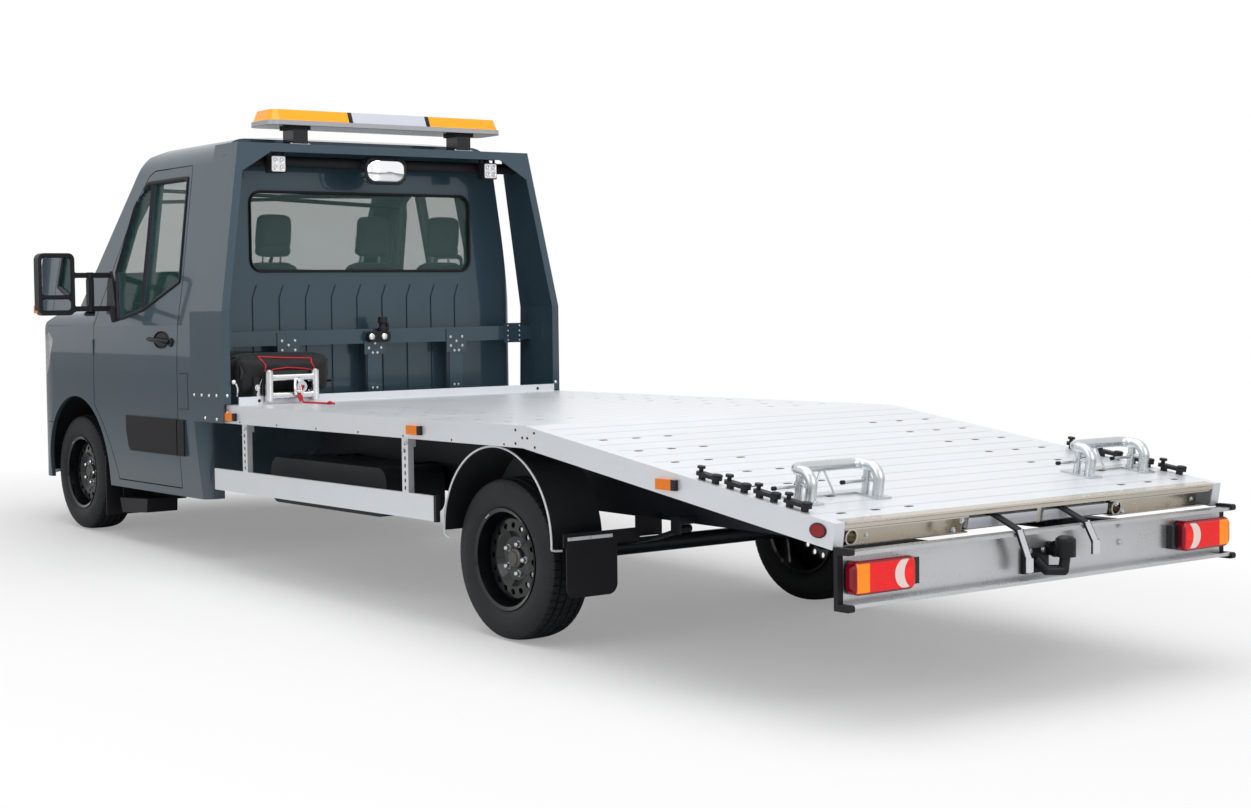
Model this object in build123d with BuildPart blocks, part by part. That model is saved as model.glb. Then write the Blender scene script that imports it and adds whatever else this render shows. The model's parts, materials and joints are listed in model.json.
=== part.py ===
from build123d import *
from math import atan2, cos, degrees, hypot, radians, sin, tan
import os

os.makedirs("parts", exist_ok=True)

# All sizes are millimetres. The sprung body is drawn level: x to the left-hand side,
# y rearwards from the front axle, z up, with the front axle at the tyre's radius.
# The finished pieces are then tipped nose-down about the front axle by the rake.

# Wheels and stance
wheelbase = 4332
rake = 1.394
tyre_radius = 345
tyre_width = 225
rim_radius = 208
rim_wall = 7
front_track = 1750
rear_track = 1730
kingpin_foot_x = 800
kingpin_foot_z = 205
kingpin_top_z = 822
kingpin_lean = 0.24
hub_radius = 62
hub_gap = 0.3
moving_gap = 6
barrel_radius = 2.7
panel_gap = 3
seat_gap = 0.3

# Reach of the whole truck from the front axle, for the origin under its middle
front_overhang = 869
rear_reach = 6468

# Cab form
cab_half = 1035
cab_wall = 48
cab_rear = 1706
cab_corner = 95
cowl_y = 62
sill_z = 302
belt_z = 1230
belt_half = 1026
eave_z = 2090
eave_half = 893
roof_z = 2262
roof_edge_half = 740
roof_edge_z = 2226
screen_base_z = 1385
screen_base_y = 8
screen_bow = 167
screen_bow_half = 1100
screen_slope = 50.5
floor_z = 430
floor_sheet = 14
firewall_y = cowl_y + cab_wall + floor_sheet / 2 + 1

# Nose form ahead of the doors
nose_wall = 24
door_front = 345
bumper_bottom = 300
bumper_top = 640
nose_corner = 600
bonnet_half = 760
bonnet_front_z = 1040
bonnet_hinge_z = 1393
bonnet_flank = -80
lamp_half = 560
cowl_half = 900
shoulder_half = 935
shoulder_z = 1318

# Front wheel arch, cut from the wings, the bumper and the cab's foot
arch_y = 70
arch_z = 377
arch_radius = 433
liner_y = 50
liner_radius = 485
liner_sheet = 6

# Door and its window, as corners in side view
door_rear = 1432
door_foot = 350
door_bend_z = 770
door_head = 2096
hinge_y = door_front - moving_gap / 2

# Headboard of folded sheet
board_sheet = 6
board_knee_x = 1088
board_knee_y = 2065
board_knee_z = 1304
board_foot_z = 727
board_top_x = 935
board_top_y = 1991
board_top_z = 2180
board_front_y = 1690
board_front_knee = 1705
board_front_top = 1742
board_flange = 45
gusset = 150
pipe_y = 1858
pipe_z = 2096
pipe_radius = 30
cross_y = 1760
cross_depth = 40
cross_low = 1113
cross_height = 81
post_x = 550
post_width = 90

# Bed
deck_half = 1018
rail_top = 48
deck_z = 819
deck_front = 2033
deck_knee = 4623
deck_rear = 6298
deck_rear_z = 571.5
rail_height = 92
rail_front = 1992
rail_wall = 5
plank = 25
edge_depth = 42
lip_y = 2100
lip_top = 860
slot_pitch = 215
slot_column = 167

# Rear end
beam_y = 6397
beam_depth = 52
beam_half = 1042
beam_low = 285
beam_high = 474
beam_sheet = 5
beam_cap = 26
lamp_inner_x = 742
lamp_outer_x = 1040
lamp_low = 325
lamp_high = 440

# Vertical ribs pressed into the cab's rear wall
rib_pitch = 165
rib_rise = 8
rib_half = 52

# Tow hitch's bolt circle
hitch_pcd = 104
hitch_hole = 6.5
hitch_x = 75
hitch_z = 360
cap_radius = 36

# Ramps, side by side under the sloping deck
ramp_width = 370
ramp_length = 1640
ramp_height = 38
ramp_gap = 36
ramp_drop = 36
ramp_side_gap = 6

# Rear fenders
fender_radius = 378
fender_sheet = 7
fender_inner_x = 745
flap_y = 4805
flap_low = 130
flap_high = 375

# Wheel stops, runs down the slope from the knee
stop_front = 1366
stop_bar = 1372
stop_post = 1416
stop_bend = 1476
stop_rise = 104
stop_tube = 20
strap_sheet = 4.4

# Side guards
guard_inset = 16
guard_thick = 17
guard_front = 1911
guard_rear = 3961
guard_low = 377
guard_high = 487

# Worked out from the sizes above
bed_half = deck_half + rail_top
guard_x = bed_half - guard_inset
fender_outer_x = deck_half - 13
channel_end = deck_half - 10
cleat_x = (deck_half + bed_half) / 2 - 3
beam_web = beam_y - beam_depth
mouth_half = ramp_width + ramp_gap / 2 + ramp_side_gap
rear_axle_y = wheelbase * cos(radians(rake))
rear_axle_z = tyre_radius - wheelbase * sin(radians(rake))
slope = degrees(atan2(deck_z - deck_rear_z, deck_rear - deck_knee))
slope_run = hypot(deck_z - deck_rear_z, deck_rear - deck_knee)
origin_y = (rear_reach - front_overhang) / 2
front_wheel_x = front_track / 2
rear_wheel_x = rear_track / 2

# Places of the pieces: on the ground, or with the sprung body
GROUND = Location((0, -origin_y, 0))
SPRUNG = GROUND * Location((0, 0, tyre_radius), (rake, 0, 0)) * Location((0, 0, -tyre_radius))


def hand_over(piece, label, seat):
    """Move a finished piece to its place, label it and write it."""
    piece.part.move(seat)
    piece.part.label = label
    export_step(piece.part, f"parts/{label}.step")


def block(x, y, z, mode=Mode.ADD):
    """A block between two limits on each axis, in the open builder."""
    with Locations(((x[0] + x[1]) / 2, (y[0] + y[1]) / 2, (z[0] + z[1]) / 2)):
        Box(abs(x[1] - x[0]), abs(y[1] - y[0]), abs(z[1] - z[0]), mode=mode)


def pair(x, y, z, mode=Mode.ADD):
    """A block on the left and its mirror image on the right."""
    block(x, y, z, mode)
    block((-x[1], -x[0]), y, z, mode)


def rod(start, end, radius, mode=Mode.ADD):
    """A round bar between two points."""
    run = Vector(*end) - Vector(*start)
    with BuildSketch(Plane(start, z_dir=run)) as section:
        Circle(radius)
    extrude(section.sketch, amount=run.length, mode=mode)


def strap(points, width, thick):
    """A flat strap that lies square to x along straight runs between points."""
    for start, end in zip(points, points[1:]):
        run = Vector(*end) - Vector(*start)
        with BuildSketch(Plane(start, x_dir=(1, 0, 0), z_dir=run)) as section:
            Rectangle(width, thick)
        extrude(section.sketch, amount=run.length + thick / 2)


def side_plate(outline, x, mode=Mode.ADD):
    """A plate with corners (y, z), between two places across the truck."""
    with BuildSketch(Plane.YZ.offset(x[0])) as section:
        with BuildLine():
            Polyline(*outline, close=True)
        make_face()
    extrude(section.sketch, amount=x[1] - x[0], mode=mode)


def cross_plate(outline, y, mode=Mode.ADD):
    """A plate with corners (x, z), between two places along the truck."""
    with BuildSketch(Plane.XZ.offset(-y[0])) as section:
        with BuildLine():
            Polyline(*outline, close=True)
        make_face()
    extrude(section.sketch, amount=y[0] - y[1], mode=mode)


def deck_at(y):
    """Height of the deck's top at a place along the truck."""
    return deck_z - max(0, y - deck_knee) * tan(radians(slope))


def along_slope(run, drop):
    """Point (y, z) a run down the sloping deck from its knee, a drop below its top."""
    turn = radians(slope)
    return (deck_knee + run * cos(turn) - drop * sin(turn), deck_z - run * sin(turn) - drop * cos(turn))


# Closed forms of the cab and the nose, from which the panels are cut
def cab_form(inset):
    """The cab's closed form, with every wall drawn in by the inset."""
    with BuildPart() as form:
        with BuildSketch(Plane.YZ):
            with BuildLine():
                Polyline((-600, 1900), (-600, -400), (cab_rear, -400), (cab_rear, roof_edge_z), (1560, 2250))
                ThreePointArc((1560, 2250), (1250, roof_z), (850, 2205))
                Line((850, 2205), (-600, 1900))
            make_face()
            if inset:
                offset(amount=-inset, mode=Mode.REPLACE)
        extrude(amount=1200, both=True)
        with BuildSketch(Plane.XZ):
            with BuildLine():
                half = Polyline((0, -400), (belt_half - 14, -400), (belt_half - 14, sill_z))
                low = ThreePointArc(half @ 1, (cab_half, 760), (belt_half, belt_z))
                lean = Line(low @ 1, (eave_half, eave_z))
                eave = ThreePointArc(lean @ 1, (840, 2188), (roof_edge_half, roof_edge_z))
                ThreePointArc(eave @ 1, (0, roof_z + 8), (-roof_edge_half, roof_edge_z))
                mirror(about=Plane.YZ)
            make_face()
            if inset:
                offset(amount=-inset, mode=Mode.REPLACE)
        extrude(amount=3000, both=True, mode=Mode.INTERSECT)
        with BuildSketch(Plane.XY.offset(-400)):
            with Locations((0, cab_rear - 1500)):
                RectangleRounded(2 * (cab_half - inset), 3000 - 2 * inset, cab_corner)
        extrude(amount=3000, mode=Mode.INTERSECT)
        lean_run = (screen_base_z + 400) / tan(radians(screen_slope))
        back = screen_base_y - lean_run + inset / sin(radians(screen_slope))
        with BuildSketch(Plane.XY.offset(-400)):
            with BuildLine():
                bow = ThreePointArc((-screen_bow_half, back + screen_bow), (0, back),
                                    (screen_bow_half, back + screen_bow))
                Polyline(bow @ 1, (screen_bow_half, 5000), (-screen_bow_half, 5000), bow @ 0)
            make_face()
        rise = Vector(0, cos(radians(screen_slope)), sin(radians(screen_slope)))
        extrude(amount=3600, dir=rise, mode=Mode.INTERSECT)
        block((-1200, 1200), (cowl_y + inset, 3000), (-500, 3000), Mode.INTERSECT)
    return form.part


def nose_form(inset):
    """The closed form of the bonnet, wings, lamps and bumper, drawn in by the inset."""
    with BuildPart() as form:
        with BuildSketch(Plane.YZ):
            with BuildLine():
                foot = Polyline((900, 1700), (900, -300), (-835, -300), (-835, 330))
                swell = ThreePointArc(foot @ 1, (-front_overhang, 560), (-838, 800))
                brow = Line(swell @ 1, (-770, 1010))
                lip = ThreePointArc(brow @ 1, (-740, 1075), (-660, 1125))
                slip = ThreePointArc(lip @ 1, (-350, 1262), (30, 1392))
                Line(slip @ 1, (900, 1700))
            make_face()
            if inset:
                offset(amount=-inset, mode=Mode.REPLACE)
        extrude(amount=1200, both=True)
        with BuildSketch(Plane.XZ):
            with BuildLine():
                half = Polyline((0, -300), (belt_half - 14, -300), (belt_half - 14, sill_z))
                low = ThreePointArc(half @ 1, (cab_half, 760), (belt_half, belt_z))
                shoulder = ThreePointArc(low @ 1, (1004, 1290), (shoulder_half, shoulder_z))
                ThreePointArc(shoulder @ 1, (0, 1440), (-shoulder_half, shoulder_z))
                mirror(about=Plane.YZ)
            make_face()
            if inset:
                offset(amount=-inset, mode=Mode.REPLACE)
        extrude(amount=2000, both=True, mode=Mode.INTERSECT)
        with BuildSketch(Plane.XY.offset(-300)):
            with BuildLine():
                flank = Line((cab_half, 900), (cab_half, nose_corner - front_overhang + 19))
                corner = RadiusArc(flank @ 1, (cab_half - nose_corner, 19 - front_overhang), nose_corner)
                mirror(about=Plane.YZ)
                ThreePointArc(corner @ 1, (0, -front_overhang), (nose_corner - cab_half, 19 - front_overhang))
                Line((cab_half, 900), (-cab_half, 900))
            make_face()
            if inset:
                offset(amount=-inset, mode=Mode.REPLACE)
        extrude(amount=2200, mode=Mode.INTERSECT)
    return form.part


cab_outer = cab_form(0)
cab_inner = cab_form(cab_wall)
nose_outer = nose_form(0)
nose_inner = nose_form(nose_wall)

# Outlines in side view, corners (y, z), that more than one piece uses
window_outline = [(690, 1280), (590, 1540), (758, 1960), (860, 2022), (1343, 2022), (1385, 1475), (981, 1331)]
window_bar = [(964, 1300), (998, 1300), (959, 2060), (925, 2060)]
screen_outline = [(-872, 1462), (872, 1462), (742, 2078), (-742, 2078)]
strip_front = [(828, 525), (door_rear - 3, 525), (door_rear - 3, 722), (792, 722), (792, 640)]
strip_rear = [(door_rear + 9, 525), (1517, 525), (1517, 722), (door_rear + 9, 722)]
strip_rise = 9
rear_window_half = 712
rear_window_low = 1520
rear_window_high = 1940


def door_area(gap, x, mode=Mode.ADD):
    """The door's outline in side view, grown by the gap, as a solid across the truck."""
    with BuildSketch(Plane.YZ.offset(x[0])) as area:
        with BuildLine():
            foot = Polyline((door_rear, 1475), (door_rear, door_foot), (634, door_foot))
            bend = ThreePointArc(foot @ 1, (505, 600), (door_front, door_bend_z))
            Polyline(bend @ 1, (door_front, 1235), (392, 1330), (745, 1945), (862, 2070),
                     (930, door_head), (1392, door_head), (door_rear, 1475))
        make_face()
        if gap:
            offset(amount=gap, mode=Mode.REPLACE)
    extrude(area.sketch, amount=x[1] - x[0], mode=mode)


def arch_area(radius, x, mode=Mode.ADD):
    """The round of a front wheel arch, open downwards, as a solid across the truck."""
    with BuildSketch(Plane.YZ.offset(x[0])) as area:
        with Locations((arch_y, arch_z)):
            Circle(radius)
        with Locations((arch_y, arch_z / 2 - 200)):
            Rectangle(2 * radius, arch_z + 400)
    extrude(area.sketch, amount=x[1] - x[0], mode=mode)


def bonnet_area(gap, mode=Mode.ADD):
    """The bonnet's outline from above, grown by the gap, as an upright solid."""
    with BuildSketch(Plane.XY.offset(bonnet_front_z - gap)) as area:
        with BuildLine():
            Polyline((0, -1000), (bonnet_half - 90 + gap, -1000), (bonnet_half - 60 + gap, -640),
                     (bonnet_half + 60 + gap, bonnet_flank), (bonnet_half + 60 + gap, 40 + gap), (0, 40 + gap))
            mirror(about=Plane.YZ)
        make_face()
    extrude(area.sketch, amount=900, mode=mode)


def lamp_area(gap, x, mode=Mode.ADD):
    """A headlamp's outline in side view, grown by the gap, as a solid across the truck."""
    with BuildSketch(Plane.YZ.offset(x[0])) as area:
        with BuildLine():
            Polyline((-1000, 770), (-560, 800), (-330, 985), (-262, 1150), (-330, 1196), (-1000, 1050), close=True)
        make_face()
        if gap:
            offset(amount=gap, mode=Mode.REPLACE)
    extrude(area.sketch, amount=x[1] - x[0], mode=mode)


# Room that the nose takes ahead of the doors, and the thicker lamps' own wall
with BuildPart() as ahead:
    add(nose_form(-seat_gap))
    block((-1200, 1200), (-1000, door_front - moving_gap), (-400, 1500), Mode.INTERSECT)
    pair((880, 1200), (-700, door_front - moving_gap), (0, shoulder_z))
nose_ahead = ahead.part
lamp_wall = 60
lamp_inner = nose_form(lamp_wall)
with BuildPart() as lamp_pair:
    for side in (1, -1):
        lamp_area(0, (side * lamp_half, side * 1200))
with BuildPart() as lamp_pair_grown:
    for side in (1, -1):
        lamp_area(panel_gap, (side * (lamp_half - panel_gap), side * 1200))

# Cab: roof, pillars, sills and rear wall, with the door ways and windows cut
with BuildPart() as cab_shell:
    add(cab_outer)
    add(cab_inner, mode=Mode.SUBTRACT)
    block((-1200, 1200), (-700, 3000), (-500, sill_z), Mode.SUBTRACT)
    block((-900, 900), (500, 3000), (-500, floor_z - floor_sheet / 2), Mode.SUBTRACT)
    for side in (1, -1):
        door_area(moving_gap, (side * 500, side * 1200), Mode.SUBTRACT)
        arch_area(arch_radius, (side * 500, side * 1200), Mode.SUBTRACT)
    add(nose_ahead, mode=Mode.SUBTRACT)
    cross_plate(screen_outline, (-200, 1100), Mode.SUBTRACT)
    with BuildSketch(Plane.XZ.offset(-1500)):
        with Locations((0, (rear_window_low + rear_window_high) / 2)):
            RectangleRounded(2 * rear_window_half, rear_window_high - rear_window_low, 60)
    extrude(amount=-400, mode=Mode.SUBTRACT)
    for step in range(-4, 5):
        x = step * rib_pitch
        cross_plate([(x - rib_half, 600), (x + rib_half, 600), (x + rib_half, 1370), (x + rib_half / 2, 1440),
                     (x - rib_half / 2, 1440), (x - rib_half, 1370)], (cab_rear - 2, cab_rear + rib_rise))
    for side in (1, -1):
        side_plate(strip_rear, (side * 1015, side * (cab_half + strip_rise)))
hand_over(cab_shell, "cab_shell", SPRUNG)

# Glass: windscreen and rear window, thin panes in their openings
glass_out = cab_form(12)
glass_in = cab_form(17)
with BuildPart() as cab_glass:
    add(glass_out)
    add(glass_in, mode=Mode.SUBTRACT)
    cross_plate(screen_outline, (-200, 1100), Mode.INTERSECT)
    with BuildSketch(Plane.XZ.offset(-(cab_rear - 17))):
        with Locations((0, (rear_window_low + rear_window_high) / 2)):
            RectangleRounded(2 * rear_window_half, rear_window_high - rear_window_low, 60)
    extrude(amount=-5)
hand_over(cab_glass, "cab_glass", SPRUNG)

# Floor, toe board and firewall inside the cab
with BuildPart() as cab_floor:
    with BuildSketch(Plane.YZ.offset(-cab_half + 60)):
        with BuildLine():
            Polyline((cab_rear - cab_wall, floor_z), (600, floor_z), (540, 760), (400, 900), (firewall_y, 930),
                     (firewall_y, 1360))
        trace(line_width=floor_sheet)
    extrude(amount=2 * (cab_half - 60))
    add(cab_form(cab_wall + seat_gap), mode=Mode.INTERSECT)
    pair((890, 1200), (0, door_front + moving_gap), (0, 1500), Mode.SUBTRACT)
    pair((960, 1200), (0, door_rear + 2 * moving_gap), (0, 1500), Mode.SUBTRACT)
hand_over(cab_floor, "cab_floor", SPRUNG)

# Doors: panel with its window cut, and the glass in two panes
for side, name in ((1, "left"), (-1, "right")):
    with BuildPart() as door:
        add(cab_outer)
        add(cab_inner, mode=Mode.SUBTRACT)
        door_area(0, (side * 500, side * 1200), Mode.INTERSECT)
        side_plate(window_outline, (side * 500, side * 1200), Mode.SUBTRACT)
    with BuildPart() as bar:
        add(cab_outer)
        add(cab_inner, mode=Mode.SUBTRACT)
        side_plate(window_outline, (side * 500, side * 1200), Mode.INTERSECT)
        side_plate(window_bar, (side * 500, side * 1200), Mode.INTERSECT)
    with BuildPart() as door_panel:
        add(door.part)
        add(bar.part)
        for z in (800, 1060):
            rod((side * cab_half, hinge_y, z), (side * cab_half, hinge_y, z + 90), barrel_radius)
            block((side * (cab_half - 8), side * (cab_half - 1)), (hinge_y - 1, door_front + 2), (z, z + 90))
        side_plate(strip_front, (side * 1015, side * (cab_half + strip_rise)))
    hand_over(door_panel, f"door_{name}", SPRUNG)
    with BuildPart() as door_glass:
        add(glass_out)
        add(glass_in, mode=Mode.SUBTRACT)
        side_plate(window_outline, (side * 500, side * 1200), Mode.INTERSECT)
        side_plate(window_bar, (side * 500, side * 1200), Mode.SUBTRACT)
    hand_over(door_glass, f"door_glass_{name}", SPRUNG)

# Nose: bonnet, wings, headlamps, grille and bumper, cut from one form
with BuildPart() as bonnet:
    add(nose_outer)
    add(nose_inner, mode=Mode.SUBTRACT)
    bonnet_area(0, Mode.INTERSECT)
    for x in (-360, 360):
        rod((x - 60, 40 + moving_gap / 2, bonnet_hinge_z), (x + 60, 40 + moving_gap / 2, bonnet_hinge_z), barrel_radius)
        block((x - 60, x + 60), (38, 40 + moving_gap / 2), (bonnet_hinge_z - 5, bonnet_hinge_z))
hand_over(bonnet, "bonnet", SPRUNG)

with BuildPart() as headlamps:
    add(nose_outer)
    add(lamp_inner, mode=Mode.SUBTRACT)
    add(lamp_pair.part, mode=Mode.INTERSECT)
    bonnet_area(moving_gap, Mode.SUBTRACT)
hand_over(headlamps, "headlamps", SPRUNG)

with BuildPart() as wings:
    add(nose_outer)
    add(nose_inner, mode=Mode.SUBTRACT)
    block((-1200, 1200), (-1000, door_front - moving_gap), (bumper_top + panel_gap, 1500), Mode.INTERSECT)
    block((-lamp_half, lamp_half), (-1000, 400), (0, 1600), Mode.SUBTRACT)
    block((-cowl_half - seat_gap, cowl_half + seat_gap), (40 + moving_gap, 400), (0, 1600), Mode.SUBTRACT)
    bonnet_area(moving_gap, Mode.SUBTRACT)
    add(lamp_pair_grown.part, mode=Mode.SUBTRACT)
    arch_area(arch_radius, (-1200, 1200), Mode.SUBTRACT)
hand_over(wings, "front_wings", SPRUNG)

with BuildPart() as bumper:
    add(nose_outer)
    add(nose_inner, mode=Mode.SUBTRACT)
    block((-1200, 1200), (-1000, arch_y), (bumper_bottom, bumper_top), Mode.INTERSECT)
    arch_area(arch_radius, (-1200, 1200), Mode.SUBTRACT)
    cross_plate([(-520, 400), (520, 400), (460, 540), (-460, 540)], (-1000, -600), Mode.SUBTRACT)
hand_over(bumper, "front_bumper", SPRUNG)

with BuildPart() as grille:
    add(nose_outer)
    add(nose_inner, mode=Mode.SUBTRACT)
    block((panel_gap - lamp_half, lamp_half - panel_gap), (-1000, -600),
          (bumper_top + panel_gap, bonnet_front_z - moving_gap), Mode.INTERSECT)
    with BuildSketch(Plane.XZ.offset(600)):
        with Locations((0, 760), (0, 820), (0, 880), (0, 940)):
            Rectangle(900, 34)
    extrude(amount=400, mode=Mode.SUBTRACT)
hand_over(grille, "grille", SPRUNG)

with BuildPart() as cowl:
    add(nose_outer)
    add(nose_inner, mode=Mode.SUBTRACT)
    block((-cowl_half, cowl_half), (40 + moving_gap, 300), (1000, 1600), Mode.INTERSECT)
    add(cab_outer, mode=Mode.SUBTRACT)
hand_over(cowl, "cowl", SPRUNG)

# Front carrier that the nose panels are bolted to
with BuildPart() as carrier_pads:
    block((-500, 500), (-900, -760), (560, 720))
    pair((480, 700), (-900, -560), (600, 700))
    pair((600, 660), (-900, -420), (640, 940))
with BuildPart() as carrier:
    add(nose_form(lamp_wall + seat_gap))
    add(carrier_pads.part, mode=Mode.INTERSECT)
with BuildPart() as carrier_face:
    add(nose_form(nose_wall + seat_gap))
    block((-500, 500), (-900, -760), (560, 720), Mode.INTERSECT)

# Front arch liners with the black flap behind each wheel
with BuildPart() as liners:
    for side in (1, -1):
        with BuildSketch(Plane.YZ.offset(side * 560)):
            with BuildLine():
                foot = Line((liner_y - liner_radius, arch_z - 40), (liner_y - liner_radius, arch_z))
                over = ThreePointArc(foot @ 1, (liner_y, arch_z + liner_radius), (liner_y + liner_radius, arch_z))
                Polyline(over @ 1, (liner_y + liner_radius + 30, 200))
            trace(line_width=liner_sheet)
        extrude(amount=side * 600)
    add(nose_form(nose_wall + seat_gap), mode=Mode.INTERSECT)
    pair((960, 1200), (300, 700), (0, 1500), Mode.SUBTRACT)
hand_over(liners, "arch_liners", SPRUNG)

# Seats, dashboard and steering wheel
with BuildPart() as seats:
    for x in (520, -120, -600):
        with Locations((x, 1180, floor_z + 7 + 150)):
            Box(300, 300, 300)
        with Locations((x, 1200, floor_z + 7 + 300 + 70)):
            Box(440, 480, 140)
        side_plate([(1370, 800), (1500, 780), (1630, 1600), (1540, 1620)], (x - 215, x + 215))
        side_plate([(1560, 1600), (1620, 1590), (1650, 1830), (1570, 1840)], (x - 120, x + 120))
hand_over(seats, "seats", SPRUNG)

dash_front = firewall_y + floor_sheet / 2 + seat_gap
dash_outline = [(dash_front, 1000), (420, 1000), (540, 1100), (520, 1230), (330, 1290), (dash_front + 60, 1330),
                (dash_front, 1330)]
with BuildPart() as dashboard:
    side_plate(dash_outline, (-885, 885))
    add(cab_form(cab_wall + seat_gap), mode=Mode.INTERSECT)
hand_over(dashboard, "dashboard", SPRUNG)

with BuildPart() as steering_wheel:
    rod((520, 500, 1139), (520, 627, 1235), 24)
    side_plate([(y + seat_gap, z) for y, z in dash_outline], (400, 640), Mode.SUBTRACT)
    with BuildSketch(Plane((520, 625, 1233), z_dir=(0, 140, 100))):
        with BuildLine():
            Polyline((-176, 0), (176, 0))
        trace(line_width=40)
        Circle(60)
    extrude(amount=18)
    with BuildSketch(Plane((520, 625, 1233), x_dir=(0, -100, 140), z_dir=(1, 0, 0))):
        with Locations((180, 9)):
            Circle(15)
    revolve(axis=Axis((520, 625, 1233), (0, 140, 100)))
hand_over(steering_wheel, "steering_wheel", SPRUNG)

# Mirrors on double arms: housing and arms, with the glass let in
mirror_room = cab_form(0)
for side, name in ((1, "left"), (-1, "right")):
    with BuildPart() as mirror_head:
        block((side * 1240, side * 1460), (490, 575), (1294, 1648))
        fillet(mirror_head.edges().filter_by(Axis.Y), 38)
        fillet(mirror_head.faces().sort_by(Axis.Y)[0].edges(), 24)
        block((side * 1262, side * 1440), (567, 590), (1404, 1626), Mode.SUBTRACT)
        block((side * 1266, side * 1436), (567, 590), (1318, 1390), Mode.SUBTRACT)
        for z in (1330, 1522):
            block((side * 1000, side * 1262), (530, 560), (z - 15, z + 15))
        block((side * 1120, side * 1150), (530, 560), (1330, 1522))
        side_plate([(500, 1300), (640, 1290), (585, 1500), (560, 1545), (520, 1480)],
                   (side * 1000, side * 1016))
    with BuildPart() as door_mirror:
        add(mirror_head.part)
        add(mirror_room, mode=Mode.SUBTRACT)
    hand_over(door_mirror, f"mirror_{name}", SPRUNG)

# Front suspension: lower arms on the carrier, and knuckles that turn on a leaning kingpin
def kingpin(side, z):
    """Point on a kingpin's axis at a height."""
    return (side * (kingpin_foot_x - kingpin_lean * (z - kingpin_foot_z)), 0, z)


with BuildPart() as front_subframe:
    block((-440, 440), (-170, 170), (236, 300))
    pair((440, 500), (-60, 120), (250, 309.7))
    for side in (1, -1):
        rod((side * 430, 120, 262), kingpin(side, 166), 20)
        rod((side * 430, -60, 262), kingpin(side, 166), 20)
        rod(kingpin(side, 160), kingpin(side, kingpin_foot_z - seat_gap), 24)
hand_over(front_subframe, "front_subframe", SPRUNG)

hub_back = 30
for side, name in ((1, "left"), (-1, "right")):
    with BuildPart() as knuckle:
        rod(kingpin(side, kingpin_foot_z), kingpin(side, 382), 24)
        rod(kingpin(side, 382), kingpin(side, kingpin_top_z), 22)
        rod(kingpin(side, 620), kingpin(side, 790), 40)
        rod((side * 765, 0, tyre_radius), (side * (front_wheel_x - hub_back - hub_gap), 0, tyre_radius), 52)
    hand_over(knuckle, f"knuckle_{name}", SPRUNG)

# Engine and gearbox as one plain mass on the subframe
with BuildPart() as engine_block:
    block((-330, 330), (-420, 30), (300, 900))
hand_over(engine_block, "engine_block", SPRUNG)

# Rear leaf springs, from eye to eye over the axle
spring_ends = (3660, 5000)
spring_eye_z = 395
spring_x = 585

# Ladder frame: two channel rails with cross members and the rear beam's brackets
rail_front_top = floor_z - floor_sheet / 2 - seat_gap
rail_outline = [(-740, 310), (1740, 310), (2040, 430), (6000, 405), (6000, 505), (5500, 560), (2010, 560),
                (1712, rail_front_top), (-740, rail_front_top)]
rail_x = 500
rail_depth = 60
rail_sheet = 6
with BuildPart() as towers:
    pair((rail_x + seat_gap, 540), (-50, 50), (330, 900))
    pair((rail_x, 700), (-50, 50), (kingpin_top_z + 9, 900))
    for side in (1, -1):
        rod(kingpin(side, kingpin_top_z + seat_gap), kingpin(side, kingpin_top_z + 20), 22)
    with BuildSketch(Plane.YZ.offset(-800)):
        with Locations((liner_y, arch_z)):
            Circle(liner_radius - liner_sheet / 2 - seat_gap)
    extrude(amount=1600, mode=Mode.INTERSECT)
with BuildPart() as front_frame:
    add(carrier.part)
    add(carrier_face.part)
    pair((rail_x - rail_depth, rail_x), (-740, -640), (rail_front_top + seat_gap, 640))
    add(towers.part)
hand_over(front_frame, "front_frame", SPRUNG)

with BuildPart() as chassis_rails:
    for side in (1, -1):
        side_plate(rail_outline, (side * rail_x, side * (rail_x - rail_sheet)))
        with BuildSketch(Plane.YZ.offset(side * rail_x)):
            with BuildLine():
                Polyline(*rail_outline, close=True)
            make_face()
            offset(amount=-rail_sheet, mode=Mode.SUBTRACT)
        extrude(amount=-side * rail_depth)
    for y in (640, 1800, 2900, 3700, 4900, 5900):
        z = 330 if y < 1700 else 450
        block((-rail_x + rail_sheet, rail_x - rail_sheet), (y, y + 50), (z, z + 50))
    pair((rail_x, 560), (5920, 6000), (300, 480))
    pair((rail_x, 560), (6000, beam_web - seat_gap), (300, 455))
    for y in spring_ends:
        pair((rail_x, 600), (y - 25, y + 25), (spring_eye_z + 20, 445))
        pair((spring_x + seat_gap, 600), (y - 25, y + 25), (spring_eye_z - 20, 445))
hand_over(chassis_rails, "chassis_rails", SPRUNG)

# Rear axle: tube with stub ends, on a leaf spring each side
with BuildPart() as rear_axle:
    rod((hub_back + hub_gap - rear_wheel_x, rear_axle_y, rear_axle_z),
        (rear_wheel_x - hub_back - hub_gap, rear_axle_y, rear_axle_z), 36)
    for side in (1, -1):
        with BuildSketch(Plane.YZ.offset(side * (spring_x - 65))):
            with BuildLine():
                ThreePointArc((spring_ends[0], spring_eye_z), (rear_axle_y, rear_axle_z + 40), (spring_ends[1], spring_eye_z))
            trace(line_width=12)
            with Locations(*[(y, spring_eye_z) for y in spring_ends]):
                Circle(16)
        extrude(amount=side * 65)
hand_over(rear_axle, "rear_axle", SPRUNG)

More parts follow.
